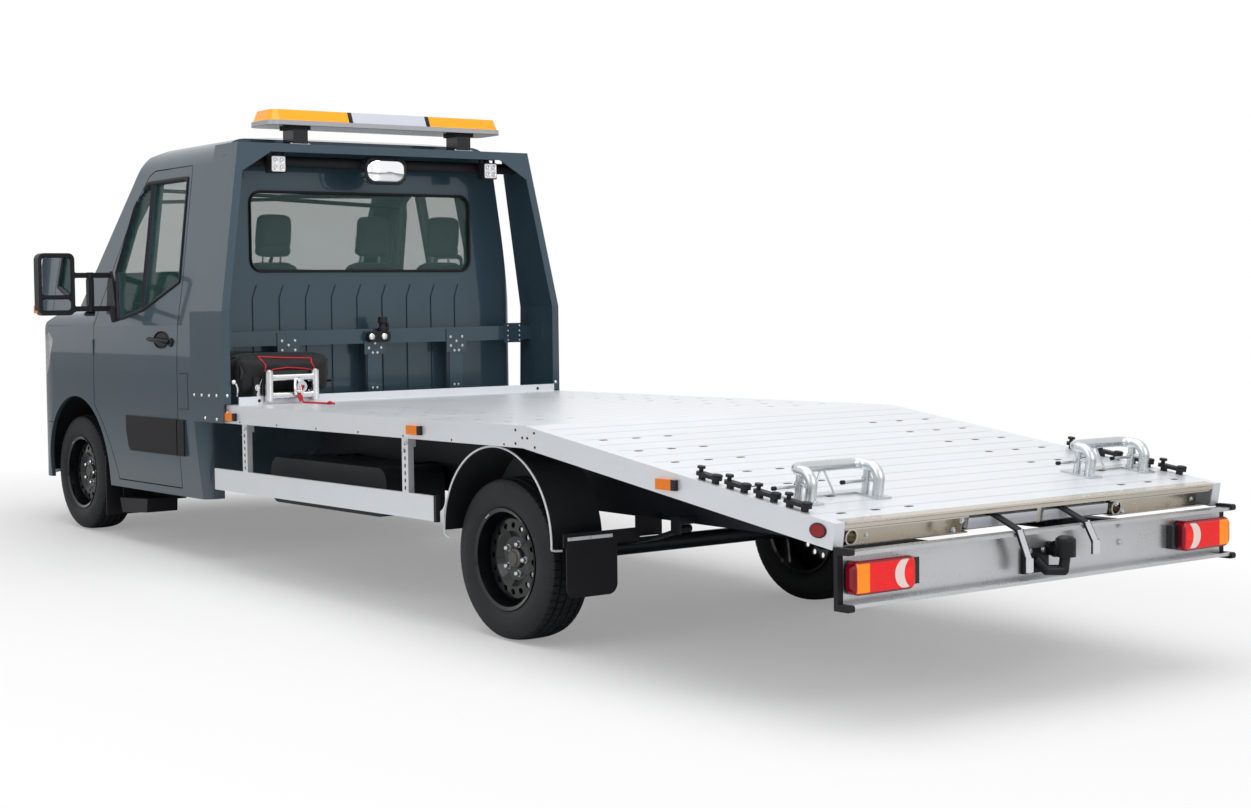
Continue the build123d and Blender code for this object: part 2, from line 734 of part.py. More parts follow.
# Wheels: tyre and steel rim with its hub, drawn about the wheel's own axis
tyre_profile = [(-88, rim_radius), (-89, 219), (-106, 236), (-112, 262), (-110, 296), (-98, 328), (-72, 345),
                (72, 345), (98, 328), (110, 296), (112, 262), (106, 236), (89, 219), (88, rim_radius)]
rim_profile = [(-100, rim_radius - rim_wall), (96, rim_radius - rim_wall), (102, rim_radius + 8), (95, rim_radius + 8),
               (90, rim_radius - 0.3), (-92, rim_radius - 0.3), (-97, rim_radius + 8), (-104, rim_radius + 8)]
disc_profile = [(26, 203), (50, 168), (56, 118), (34, 92), (34, 40), (52, 34), (52, 0), (-hub_back, 0),
                (-hub_back, hub_radius), (26, hub_radius), (26, 92), (46, 116), (41, 160), (18, 203)]
wheels = [
    ("front_left", 1, front_wheel_x, 0),
    ("front_right", -1, front_wheel_x, 0),
    ("rear_left", 1, rear_wheel_x, wheelbase),
    ("rear_right", -1, rear_wheel_x, wheelbase),
]
for name, side, x, y in wheels:
    seat = GROUND * Location((side * x, y, tyre_radius), (0, 0, 0 if side > 0 else 180))
    with BuildPart() as tyre:
        with BuildSketch(Plane.XZ):
            with BuildLine():
                Polyline(*tyre_profile, close=True)
            make_face()
        revolve(axis=Axis.X)
    hand_over(tyre, f"tyre_{name}", seat)
    with BuildPart() as rim:
        for profile in (rim_profile, disc_profile):
            with BuildSketch(Plane.XZ):
                with BuildLine():
                    Polyline(*profile, close=True)
                make_face()
            revolve(axis=Axis.X)
        with BuildSketch(Plane.YZ):
            with PolarLocations(142, 16):
                Circle(13)
        extrude(amount=70, mode=Mode.SUBTRACT)
        with BuildSketch(Plane.YZ.offset(34)):
            with PolarLocations(65, 5):
                RegularPolygon(11, 6)
        extrude(amount=16)
    hand_over(rim, f"rim_{name}", seat)

# Headboard: two folded side fins that lean in above the knee, joined over the cab
leg_lean = degrees(atan2(board_knee_x - board_top_x, board_top_z - board_knee_z))
leg_run = hypot(board_knee_x - board_top_x, board_top_z - board_knee_z)
face_run = hypot(board_knee_y - board_top_y, board_top_z - board_knee_z)
gusset_x = board_top_x + gusset * (board_knee_x - board_top_x) / face_run
pipe_reach = board_knee_x - (pipe_z - board_knee_z) * tan(radians(leg_lean)) - board_sheet / 2
with BuildPart() as headboard:
    for side in (1, -1):
        side_plate([(board_front_y, board_foot_z), (board_knee_y, board_foot_z), (board_knee_y, board_knee_z),
                    (board_front_knee, board_knee_z)],
                   (side * board_knee_x, side * (board_knee_x - board_sheet)))
        block((side * board_knee_x, side * (board_knee_x - board_flange)),
              (board_knee_y - board_sheet, board_knee_y), (board_foot_z + rail_height + 6, board_knee_z))
        with BuildSketch(Plane((side * board_knee_x, 0, board_knee_z), x_dir=(0, 1, 0),
                               z_dir=(-side * cos(radians(leg_lean)), 0, -sin(radians(leg_lean))))) as leg:
            with BuildLine():
                Polyline((board_front_knee, 0), (board_knee_y, 0), (board_top_y, -side * leg_run),
                         (board_front_top, -side * leg_run), close=True)
            make_face()
        extrude(amount=board_sheet)
    block((-board_top_x, board_top_x), (board_front_top, board_top_y), (board_top_z - board_sheet, board_top_z))
    with BuildSketch(Plane((0, board_knee_y, board_knee_z), x_dir=(1, 0, 0),
                           z_dir=(0, board_top_z - board_knee_z, board_knee_y - board_top_y))) as face:
        with BuildLine():
            Polyline((board_knee_x, 0), (board_top_x, -face_run), (-board_top_x, -face_run), (-board_knee_x, 0),
                     (board_flange - board_knee_x, 0), (board_flange - gusset_x, gusset - face_run),
                     (board_flange - board_top_x + gusset, board_flange - face_run),
                     (board_top_x - board_flange - gusset, board_flange - face_run),
                     (gusset_x - board_flange, gusset - face_run), (board_knee_x - board_flange, 0), close=True)
        make_face()
    extrude(amount=-board_sheet)
    block((board_sheet - board_knee_x, board_knee_x - board_sheet), (cross_y, cross_y + cross_depth),
          (cross_low, cross_low + cross_height))
    for x in (-post_x, 0, post_x):
        block((x - post_width / 2, x + post_width / 2), (cross_y + cross_depth - 8, cross_y + cross_depth),
              (760, cross_low))
        block((x - 68, x + 68), (cross_y + cross_depth - 1, cross_y + cross_depth + 6), (cross_low - 60, cross_low + 70))
    pair((890, 1010), (cross_y + cross_depth - 1, cross_y + cross_depth + 6), (cross_low - 16, cross_low + cross_height + 16))
    block((-post_x - 60, post_x + 60), (cross_y, rail_front), (740, 760))
    rod((-pipe_reach, pipe_y, pipe_z), (pipe_reach, pipe_y, pipe_z), pipe_radius)
hand_over(headboard, "headboard", SPRUNG)

# Light bar: base, two lens ends and a middle on two feet over the headboard
with BuildPart() as light_bar:
    with BuildSketch(Plane.XY.offset(2276)):
        with Locations((0, 1885)):
            RectangleRounded(1504, 250, 60)
    extrude(amount=26)
    with BuildSketch(Plane.XY.offset(2302)):
        with Locations((0, 1885)):
            RectangleRounded(1490, 236, 58)
    extrude(amount=58, taper=22)
    for x in (-529, 529):
        block((x - 45, x + 45), (1830, 1940), (board_top_z, 2276))
hand_over(light_bar, "light_bar", SPRUNG)

# Square work lamps under the headboard's top
with BuildPart() as work_lamps:
    for x in (-686, 686):
        block((x - 45, x + 45), (1915, 1972), (2028, 2118))
        block((x - 12, x + 12), (1925, 1945), (2118, board_top_z - board_sheet))
hand_over(work_lamps, "work_lamps", SPRUNG)

# Convex mirror over the bed, on an arm from the headboard's top
with BuildPart() as deck_mirror:
    with BuildSketch(Plane.XZ.offset(-1900)):
        with Locations((0, 2060)):
            RectangleRounded(260, 150, 60)
    extrude(amount=-50)
    rod((0, 1910, 2100), (0, 1910, board_top_z - board_sheet), 10)
hand_over(deck_mirror, "deck_mirror", SPRUNG)

# Bed: planked deck, level and then sloping, with slots for the wheel stops
ramp_tilt = Plane((0, deck_knee, deck_z), x_dir=(1, 0, 0), z_dir=(0, sin(radians(slope)), cos(radians(slope))))
slot_columns = [side * (deck_half - 93 - step * slot_column) for side in (1, -1) for step in range(3)]
with BuildPart() as deck:
    side_plate([(deck_front, deck_z), (deck_knee, deck_z), (deck_rear, deck_rear_z),
                along_slope(slope_run, plank), along_slope(0, plank), (deck_front, deck_z - plank)],
               (-deck_half, deck_half))
    for place, steps in ((ramp_tilt, range(1, 8)), (Plane.XY.offset(deck_z), range(1, 11))):
        with BuildSketch(place):
            for x in slot_columns:
                if place is ramp_tilt:
                    with Locations(*[(x, 120 + step * slot_pitch) for step in steps]):
                        SlotOverall(44, 18)
                else:
                    with Locations(*[(x, deck_knee - 95 - step * slot_pitch) for step in steps]):
                        SlotOverall(44, 18)
        extrude(amount=-2 * plank, mode=Mode.SUBTRACT)
hand_over(deck, "deck", SPRUNG)

# Side rails of the bed, a raised angle across its front and a folded rear edge
rail_side = [(rail_front, deck_z), (deck_knee, deck_z), (deck_rear + edge_depth, deck_at(deck_rear + edge_depth)),
             along_slope(slope_run + edge_depth, rail_height), along_slope(0, rail_height), (rail_front, deck_z - rail_height)]
with BuildPart() as bed_rails:
    for side in (1, -1):
        side_plate(rail_side, (side * bed_half, side * (bed_half - rail_wall)))
        with BuildSketch(Plane.YZ.offset(side * (bed_half - rail_wall))):
            with BuildLine():
                Polyline(*rail_side, close=True)
            make_face()
            offset(amount=-rail_wall, mode=Mode.SUBTRACT)
        extrude(amount=-side * (bed_half - rail_wall - deck_half))
    side_plate([(rail_front, deck_z), (rail_front, deck_z - rail_height), (rail_front + 40, deck_z - rail_height),
                (rail_front + 40, deck_z)], (-deck_half, deck_half))
    block((-deck_half, deck_half), (lip_y, lip_y + 6), (deck_z, lip_top))
    edge = [(0, 0), (edge_depth, 0), (edge_depth, 22), (edge_depth - 5, 22), (edge_depth - 5, 5), (5, 5), (5, 18), (0, 18)]
    side_plate([along_slope(slope_run + run, drop) for run, drop in edge], (-deck_half, deck_half))
hand_over(bed_rails, "bed_rails", SPRUNG)

# Bed frame under the deck: long and cross members on the ladder frame
with BuildPart() as bed_frame:
    pair((420, 500), (rail_front + 60, deck_knee - 60), (560.3, deck_z - rail_height))
    for y in (2100, 2700, 3300, 3900, 4500):
        block((-deck_half, deck_half), (y, y + 50), (deck_z - rail_height, deck_z - plank))
hand_over(bed_frame, "bed_frame", SPRUNG)

# Side guards: a plank each side hung from the rails on two struts
with BuildPart() as side_guards:
    for side in (1, -1):
        block((side * guard_x, side * (guard_x + guard_thick)), (guard_front, guard_rear), (guard_low, guard_high))
        for y in (2218, 3708):
            block((side * (guard_x - 30), side * guard_x), (y - 25, y + 25), (guard_low + 20, deck_z - rail_height))
            block((side * channel_end, side * guard_x), (y - 25, y + 25), (deck_z - rail_height - 40, deck_z - rail_height))
hand_over(side_guards, "side_guards", SPRUNG)

# Rear fenders over the wheels, with a strip and a flap behind each
fender_z = 335
with BuildPart() as rear_fenders:
    for x in ((fender_inner_x, fender_outer_x), (-fender_outer_x, -fender_inner_x)):
        with BuildSketch(Plane.YZ.offset(x[0])):
            with Locations((rear_axle_y, fender_z)):
                Circle(fender_radius + fender_sheet)
                Circle(fender_radius, mode=Mode.SUBTRACT)
            with Locations((rear_axle_y, fender_z - 400)):
                Rectangle(1000, 800, mode=Mode.SUBTRACT)
        extrude(amount=x[1] - x[0])
    for side in (1, -1):
        block((side * (rail_x + seat_gap), side * (fender_outer_x - 5)), (rear_axle_y - 20, rear_axle_y + 20),
              (fender_z + fender_radius + fender_sheet - 3, deck_z - rail_height - 0.3))
hand_over(rear_fenders, "rear_fenders", SPRUNG)

with BuildPart() as mud_flaps:
    for side in (1, -1):
        with BuildSketch(Plane.XZ.offset(-flap_y)):
            with Locations((side * (fender_inner_x + fender_outer_x) / 2, (flap_low + flap_high) / 2)):
                RectangleRounded(fender_outer_x - fender_inner_x, flap_high - flap_low, 45)
            with Locations((side * (fender_inner_x + fender_outer_x) / 2, flap_high - 50)):
                Rectangle(fender_outer_x - fender_inner_x, 100)
        extrude(amount=-6)
        block((side * 620, side * (fender_outer_x + 10)), (flap_y - 6, flap_y), (flap_high - 40, flap_high + 15))
        block((side * (rail_x + seat_gap), side * 640), (flap_y - 6, flap_y), (flap_high - 23, 440))
hand_over(mud_flaps, "mud_flaps", SPRUNG)

# Amber side markers on the rails and an oval reflector at each rear corner
with BuildPart() as side_markers:
    for side in (1, -1):
        for y, z in ((2113, 762), (3821, 768), (5501, 640)):
            block((side * bed_half, side * (bed_half + 16)), (y - 55, y + 55), (z - 20, z + 20))
hand_over(side_markers, "side_markers", SPRUNG)

# Rear beam: a channel open to the rear, with the lamps let in and a cap on each end
with BuildPart() as rear_beam:
    block((-beam_half, beam_half), (beam_web, beam_y), (beam_low, beam_high))
    block((-beam_half - 1, beam_half + 1), (beam_web + beam_sheet, beam_y + 1),
          (beam_low + beam_sheet, beam_high - beam_sheet), Mode.SUBTRACT)
    for z in (beam_low + beam_sheet, beam_high - beam_sheet - 8):
        block((-beam_half, beam_half), (beam_y - beam_sheet, beam_y), (z, z + 8))
hand_over(rear_beam, "rear_beam", SPRUNG)

lamp_seat = beam_web + beam_sheet + seat_gap
with BuildPart() as rear_lamps:
    for side in (1, -1):
        with BuildSketch(Plane.XZ.offset(-lamp_seat)):
            with Locations((side * (lamp_inner_x + lamp_outer_x) / 2, (lamp_low + lamp_high) / 2)):
                RectangleRounded(lamp_outer_x - lamp_inner_x, lamp_high - lamp_low, 30)
        extrude(amount=-(beam_y + 4 - lamp_seat))
    fillet([edge for face in rear_lamps.faces().group_by(Axis.Y)[-1] for edge in face.edges()], 12)
    for side in (1, -1):
        block((side * (lamp_inner_x - 40), side * (lamp_inner_x + 20)), (lamp_seat, lamp_seat + 26),
              (lamp_low + 12, lamp_high - 12))
hand_over(rear_lamps, "rear_lamps", SPRUNG)

with BuildPart() as beam_corners:
    for side in (1, -1):
        cap = (side * (beam_half + seat_gap), side * (beam_half + beam_cap))
        block(cap, (beam_web - 12, beam_web + 6), (beam_low - 12, beam_high + 12))
        block(cap, (beam_web - 12, beam_y + 8), (beam_high - 12, beam_high + 12))
        block(cap, (beam_web - 12, beam_y + 8), (beam_low - 12, beam_low + 12))
        fillet(beam_corners.edges().filter_by(Axis.X).group_by(Axis.Y)[-1].group_by(Axis.X)[-1 if side > 0 else 0], 9)
hand_over(beam_corners, "beam_corners", SPRUNG)

# Tow hitch: bolted plate, swan neck, ball under its rubber cap and a socket
hitch_y = rear_reach - cap_radius
plate_y = beam_web + beam_sheet + seat_gap
neck = [(hitch_x, plate_y + 13, hitch_z), (hitch_x - 10, hitch_y - 32, hitch_z - 32), (12, hitch_y, hitch_z - 34),
        (0, hitch_y, hitch_z + 30)]
with BuildPart() as tow_hitch:
    block((hitch_x - 70, hitch_x + 70), (plate_y, plate_y + 12), (hitch_z - 45, hitch_z + 45))
    with BuildSketch(Plane.XZ.offset(-plate_y)):
        with Locations((hitch_x, hitch_z)):
            with PolarLocations(hitch_pcd / 2, 4, start_angle=45):
                Circle(hitch_hole)
    extrude(amount=100, both=True, mode=Mode.SUBTRACT)
    for start, end in zip(neck, neck[1:]):
        rod(start, end, 19)
    with Locations(*neck[1:3]):
        Sphere(19)
    with BuildSketch(Plane.XY.offset(hitch_z + 14)):
        with Locations((0, hitch_y)):
            Circle(cap_radius)
    extrude(amount=76)
    fillet(tow_hitch.faces().sort_by(Axis.Z)[-1].edges(), 22)
    rod((hitch_x - 84, plate_y + 4, hitch_z + 36), (hitch_x - 84, plate_y + 34, hitch_z + 36), 26)
    block((hitch_x - 84, hitch_x - 60), (plate_y, plate_y + 8), (hitch_z + 12, hitch_z + 45))
hand_over(tow_hitch, "tow_hitch", SPRUNG)

# Rear channels with the ramp mouth between them
channel_top = plank + seat_gap
channel_foot = rail_height - 6
channel = [(-24, channel_top), (36, channel_top), (36, channel_top + 5), (-19, channel_top + 5),
           (-19, channel_foot - 5), (36, channel_foot - 5), (36, channel_foot), (-24, channel_foot)]
with BuildPart() as ramp_channels:
    for side, pipe_x in ((1, channel_end - 34), (-1, mouth_half + 40)):
        side_plate([along_slope(slope_run + run, drop) for run, drop in channel], (side * mouth_half, side * channel_end))
        for inner in (0, 1):
            start = (side * pipe_x, *along_slope(slope_run - 20 - inner, (channel_top + channel_foot) / 2))
            end = (side * pipe_x, *along_slope(slope_run + 36 + inner, (channel_top + channel_foot) / 2))
            rod(start, end, (channel_foot - channel_top) / 2 - 1 - 6 * inner, Mode.SUBTRACT if inner else Mode.ADD)
    side_plate([along_slope(slope_run + run, drop) for run, drop in ((-40, channel_top), (24, channel_top),
                (24, ramp_drop + ramp_height + ramp_side_gap + 1), (-40, ramp_drop + ramp_height + ramp_side_gap + 1))],
               (6 - ramp_gap / 2 + 1, ramp_gap / 2 - 7))
    with BuildSketch(ramp_tilt.offset(-ramp_drop - ramp_height - ramp_side_gap)):
        with Locations((0, slope_run + 10 - ramp_length / 2)):
            Rectangle(2 * mouth_half, ramp_length)
    extrude(amount=-4)
    for side in (1, -1):
        with BuildSketch(ramp_tilt.offset(-channel_top)):
            with Locations((side * (mouth_half + 3), slope_run + 10 - ramp_length / 2)):
                Rectangle(6, ramp_length)
        extrude(amount=-(ramp_drop + ramp_height + ramp_side_gap + 4 - channel_top))
    with BuildSketch(ramp_tilt.offset(-ramp_drop - ramp_height - seat_gap)):
        with Locations((0, slope_run + 10 - ramp_length / 2)):
            with Locations(*[(s * (ramp_gap + ramp_width) / 2 + t * (ramp_width / 2 - 20), 0) for s in (1, -1) for t in (1, -1)]):
                Rectangle(16, ramp_length)
    extrude(amount=-ramp_side_gap)
hand_over(ramp_channels, "ramp_channels", SPRUNG)

# Two ramps that slide out rearwards: side rails with rungs, and a rubber hold-down on each
hold_x = {1: (262, 252, 218, 168), -1: (-96, -118, -156, -204)}
hold_foot = {1: hitch_z + 12, -1: 408}
for side, name in ((1, "left"), (-1, "right")):
    middle_x = side * (ramp_width + ramp_gap) / 2
    hold_top = ramp_drop - strap_sheet / 2
    runs = [along_slope(slope_run - 30, hold_top), along_slope(slope_run + 34, hold_top),
            (beam_y + 8, beam_high + 9), (beam_y + 9, hold_foot[side])]
    with BuildPart() as ramp:
        with BuildSketch(ramp_tilt.offset(-ramp_drop)):
            with Locations((middle_x, slope_run + 30 - ramp_length / 2)):
                Rectangle(ramp_width, ramp_length)
                with GridLocations(0, 50, 1, 32):
                    Rectangle(ramp_width - 70, 26, mode=Mode.SUBTRACT)
        extrude(amount=-ramp_height)
        strap([(x, y, z) for x, (y, z) in zip(hold_x[side], runs)], 26, strap_sheet)
        end_x = hold_x[side][-1]
        block((end_x - 19, end_x + 19), (beam_y + 6, beam_y + 13), (hold_foot[side] - 44, hold_foot[side] + 6))
    hand_over(ramp, f"ramp_{name}", SPRUNG)

# Wheel stops: on a thin base, a tube hoop bent down at the rear, with two posts and thin ties
stop_x = (slot_columns[0] + slot_columns[2]) / 2
stop_half = slot_column
with BuildPart() as wheel_stops:
    for middle in (stop_x, -stop_x):
        with BuildSketch(ramp_tilt.offset(seat_gap)):
            with Locations((middle, stop_front + 20)):
                Rectangle(2 * stop_half, 40)
            with Locations((middle - stop_half, stop_front + 72), (middle + stop_half, stop_front + 72)):
                Rectangle(72, 144)
        extrude(amount=6)
        legs = []
        for x, run, rise in ((-1, stop_bend, 5), (-1, stop_bend, stop_rise), (-1, stop_bar, stop_rise),
                             (1, stop_bar, stop_rise), (1, stop_bend, stop_rise), (1, stop_bend, 5)):
            legs.append((middle + x * stop_half, *along_slope(run, -rise)))
        with BuildLine() as hoop:
            FilletPolyline(*legs, radius=45)
        with BuildSketch(Plane(hoop.line @ 0, z_dir=hoop.line % 0)):
            Circle(stop_tube)
        sweep(path=hoop.line)
        for x in (middle - stop_half, middle + stop_half):
            rod((x, *along_slope(stop_post, -4)), (x, *along_slope(stop_post, -stop_rise)), 14)
            rod((x - 10, *along_slope(stop_post, -48)), (x + 115, *along_slope(stop_post, -48)), 6)
            rod((x, *along_slope(stop_post, -56)), (x, *along_slope(stop_bend, -56)), 7)
        for x in (-52, 52):
            rod((middle + 20, *along_slope(stop_bar, -stop_rise)), (middle + 20 + x, *along_slope(stop_bar + 22, -5)), 4)
hand_over(wheel_stops, "wheel_stops", SPRUNG)

# Lashing cleats along the rear of the rails: two feet, a long oval body and a knob
with BuildPart() as lashing_cleats:
    for side in (1, -1):
        for run in (1080, 1230, 1380, 1530):
            with BuildSketch(ramp_tilt.offset(seat_gap)):
                with Locations((side * cleat_x, run - 36), (side * cleat_x, run + 36)):
                    Rectangle(18, 20)
            extrude(amount=14)
            with BuildSketch(ramp_tilt.offset(seat_gap + 14)):
                with Locations((side * cleat_x, run)):
                    SlotOverall(124, 34, rotation=90)
            extrude(amount=14)
            with BuildSketch(ramp_tilt.offset(seat_gap + 28)):
                with Locations((side * cleat_x, run - 44)):
                    Circle(8)
            extrude(amount=16)
            with BuildSketch(ramp_tilt.offset(seat_gap + 40)):
                with Locations((side * cleat_x, run - 44)):
                    Circle(15)
            extrude(amount=9)
hand_over(lashing_cleats, "lashing_cleats", SPRUNG)

# Winch: foot plate, motor, drum and gear housing, under a soft cover
winch_x = 722
winch_y = 1985
winch_axis_z = 984
cover_top = 1075
cover_low = 868
cover_sheet = 9
tank_y = 2750
motor_radius = cover_top - cover_sheet - seat_gap - winch_axis_z
fairlead_y = 2118
with BuildPart() as winch:
    block((winch_x - 205, winch_x + 205), (1996, lip_y - seat_gap), (deck_z + seat_gap, deck_z + 10))
    rod((winch_x - 262, winch_y, winch_axis_z), (winch_x - 120, winch_y, winch_axis_z), motor_radius)
    rod((winch_x + 120, winch_y, winch_axis_z), (winch_x + 262, winch_y, winch_axis_z), motor_radius)
    rod((winch_x - 125, winch_y, winch_axis_z), (winch_x + 125, winch_y, winch_axis_z), 40)
    for x in (winch_x - 140, winch_x + 140):
        block((x - 10, x + 10), (1996, 2070), (deck_z + 10, winch_axis_z - 20))
        block((x - 10, x + 10), (2060, lip_y - 4), (deck_z + 10, cover_low - seat_gap))
        block((x - 25, x + 25), (lip_y - 16, fairlead_y), (lip_top + 4, lip_top + 12))
    block((winch_x - 165, winch_x + 165), (fairlead_y - 6, fairlead_y), (lip_top + 4, 990))
    block((winch_x - 110, winch_x + 110), (fairlead_y - 8, fairlead_y + 2), (870, 945), Mode.SUBTRACT)
    for x in (winch_x - 137, winch_x + 137):
        rod((x, fairlead_y + 22, 838), (x, fairlead_y + 22, 985), 22)
        block((x - 14, x + 14), (fairlead_y, fairlead_y + 32), (832, 838))
        block((x - 14, x + 14), (fairlead_y - 6, fairlead_y + 32), (985, 990))
    for z in (862, 955):
        rod((winch_x - 125, fairlead_y + 22, z), (winch_x + 125, fairlead_y + 22, z), 18)
hand_over(winch, "winch", SPRUNG)

with BuildPart() as winch_cover:
    cross_plate([(winch_x - 278, cover_low), (winch_x + 278, cover_low), (winch_x + 292, cover_top),
                 (winch_x - 292, cover_top)], (winch_y - 98, winch_y + 97))
    cross_plate([(winch_x - 269, 860), (winch_x + 269, 860), (winch_x + 283, cover_top - cover_sheet),
                 (winch_x - 283, cover_top - cover_sheet)], (winch_y - 89, winch_y + 88), Mode.SUBTRACT)
hand_over(winch_cover, "winch_cover", SPRUNG)

# Hook at the fairlead
with BuildPart() as winch_hook:
    with BuildSketch(Plane.XZ.offset(-(fairlead_y + 40 + seat_gap))):
        with Locations((winch_x - 40, 905)):
            Circle(30)
            Circle(15, mode=Mode.SUBTRACT)
        with Locations((winch_x - 40, 935)):
            Rectangle(20, 44)
    extrude(amount=-14)
hand_over(winch_hook, "winch_hook", SPRUNG)

# Pull strap that hangs from the hook and lies on the deck
strap_radius = 5
strap_z = deck_z + strap_radius + seat_gap
strap_run = [(winch_x - 40, fairlead_y + 47, 874), (winch_x - 40, fairlead_y + 47, strap_z), (winch_x - 60, 2423, strap_z)]
with BuildPart() as hook_strap:
    with BuildLine() as strap_line:
        FilletPolyline(*strap_run, radius=0.45 * (874 - strap_z))
    with BuildSketch(Plane(strap_line.line @ 0, z_dir=strap_line.line % 0)):
        Circle(strap_radius)
    sweep(path=strap_line.line)
hand_over(hook_strap, "hook_strap", SPRUNG)

# Fuel tank between the rails and the left-hand side guard
with BuildPart() as fuel_tank:
    with BuildSketch(Plane.YZ.offset(rail_x + 60)):
        with Locations((tank_y, 440)):
            RectangleRounded(1100, 230, 70)
    extrude(amount=guard_x - rail_x - 220)
    for y in (tank_y - 350, tank_y + 350):
        block((rail_x + seat_gap, rail_x + 140), (y, y + 40), (540, 560))
hand_over(fuel_tank, "fuel_tank", SPRUNG)
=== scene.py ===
import json
from functools import partialmethod
from math import atan2, cos, hypot, pi, radians, sin

import bmesh
import bpy
import numpy as np
from mathutils import Matrix, Vector
from mathutils.bvhtree import BVHTree


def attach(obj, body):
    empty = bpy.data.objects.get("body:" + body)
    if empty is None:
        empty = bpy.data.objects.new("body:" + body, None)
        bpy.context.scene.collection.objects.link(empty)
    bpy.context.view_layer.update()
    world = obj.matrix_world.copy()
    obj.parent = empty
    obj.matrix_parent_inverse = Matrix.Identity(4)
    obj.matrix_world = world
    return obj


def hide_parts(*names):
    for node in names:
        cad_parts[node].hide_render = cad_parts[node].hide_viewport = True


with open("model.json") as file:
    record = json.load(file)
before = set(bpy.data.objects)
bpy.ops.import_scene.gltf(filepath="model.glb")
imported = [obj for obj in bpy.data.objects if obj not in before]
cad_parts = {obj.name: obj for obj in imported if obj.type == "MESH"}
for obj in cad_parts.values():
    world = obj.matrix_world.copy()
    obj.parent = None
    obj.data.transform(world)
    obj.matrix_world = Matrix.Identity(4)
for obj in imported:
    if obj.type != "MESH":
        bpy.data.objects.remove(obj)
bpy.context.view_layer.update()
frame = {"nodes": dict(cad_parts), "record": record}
nodes = frame["nodes"]

# Places are chassis millimetres: x to the left-hand side, y rearwards from the front axle,
# z up, drawn level and then tipped nose-down about the front axle.
RAKE = radians(1.394)
AXLE_Z = 345
AXLE_TO_MIDDLE = 2799.5
WHEELBASE = 4332
KNEE = (4623, 819)
SLOPE = atan2(819 - 571.5, 6298 - 4623)
DECK_HALF = 1018
BED_HALF = 1066
LEFT, BACK, UP = (1, 0, 0), (0, 1, 0), (0, 0, 1)
SIDES = ((1, "left"), (-1, "right"))


def settle(points):
    """Level chassis millimetres to metres of the shared frame: turn by the rake about the front axle."""
    p = np.asarray(points, float)
    y, z = p[..., 1], p[..., 2] - AXLE_Z
    turned = (p[..., 0], y * cos(RAKE) - z * sin(RAKE) - AXLE_TO_MIDDLE, AXLE_Z + y * sin(RAKE) + z * cos(RAKE))
    return np.stack(turned, -1) / 1000


def level(points):
    """Metres of the shared frame back to level chassis millimetres: the turn and shift of settle undone."""
    p = np.asarray(points, float) * 1000
    y, z = p[..., 1] + AXLE_TO_MIDDLE, p[..., 2] - AXLE_Z
    return np.stack((p[..., 0], y * cos(RAKE) + z * sin(RAKE), AXLE_Z + z * cos(RAKE) - y * sin(RAKE)), -1)


def ground(points):
    """Millimetres on the ground, y from the front axle, to metres of the shared frame."""
    p = np.asarray(points, float)
    return np.stack((p[..., 0], p[..., 1] - AXLE_TO_MIDDLE, p[..., 2]), -1) / 1000


def on_slope(x, run, rise):
    """Chassis point a run down the sloping deck from its knee, a rise above its top."""
    x, run, rise = np.broadcast_arrays(np.asarray(x, float), run, rise)
    y = KNEE[0] + run * cos(SLOPE) + rise * sin(SLOPE)
    return np.stack((x, y, KNEE[1] - run * sin(SLOPE) + rise * cos(SLOPE)), -1)


def unit(v):
    """A vector, or each row of vectors, divided by its length."""
    v = np.asarray(v, float)
    return v / np.linalg.norm(v, axis=-1, keepdims=True)


def circle(steps):
    """Angles of a full turn in even steps."""
    return np.linspace(0, 2 * pi, steps, endpoint=False)


def add_object(name, data):
    """A new object of some data, in the scene."""
    made = bpy.data.objects.new(name, data)
    bpy.context.scene.collection.objects.link(made)
    return made


ALONG_SLOPE = np.array((0, cos(SLOPE), -sin(SLOPE)))
OFF_SLOPE = np.array((0, sin(SLOPE), cos(SLOPE)))


# Materials: shader maths as expressions, and one method that makes the other nodes
class Signal:
    """A value in a material; arithmetic on it adds Math nodes."""

    def __init__(self, look, socket):
        self.look, self.socket = look, socket

    def apply(self, operation, *others):
        return self.look.node("ShaderNodeMath", dict(enumerate((self, *others))), operation=operation)

    def __rsub__(self, other):
        return self.look.node("ShaderNodeMath", {0: other, 1: self}, operation="SUBTRACT")

    __add__ = __radd__ = partialmethod(apply, "ADD")
    __mul__ = __rmul__ = partialmethod(apply, "MULTIPLY")
    __sub__ = partialmethod(apply, "SUBTRACT")
    __truediv__ = partialmethod(apply, "DIVIDE")
    __pow__ = partialmethod(apply, "POWER")
    __abs__ = partialmethod(apply, "ABSOLUTE")
    __or__ = partialmethod(apply, "MAXIMUM")

    def step(self, edge, soft):
        """0 below the edge and 1 above it, over the soft width."""
        return self.look.node("ShaderNodeMapRange", {0: self, 1: edge - soft / 2, 2: edge + soft / 2}, clamp=True)

    def within(self, low, high, soft=0.001):
        """1 between two edges and 0 outside them."""
        return self.step(low, soft) * (1 - self.step(high, soft))

    def line(self, pitch, share, soft):
        """1 on a narrow line once in each pitch, as wide as its share of the pitch, and 0 between."""
        return 1 - abs((self / pitch).apply("FRACT") - 0.5).step(share / 2, soft)


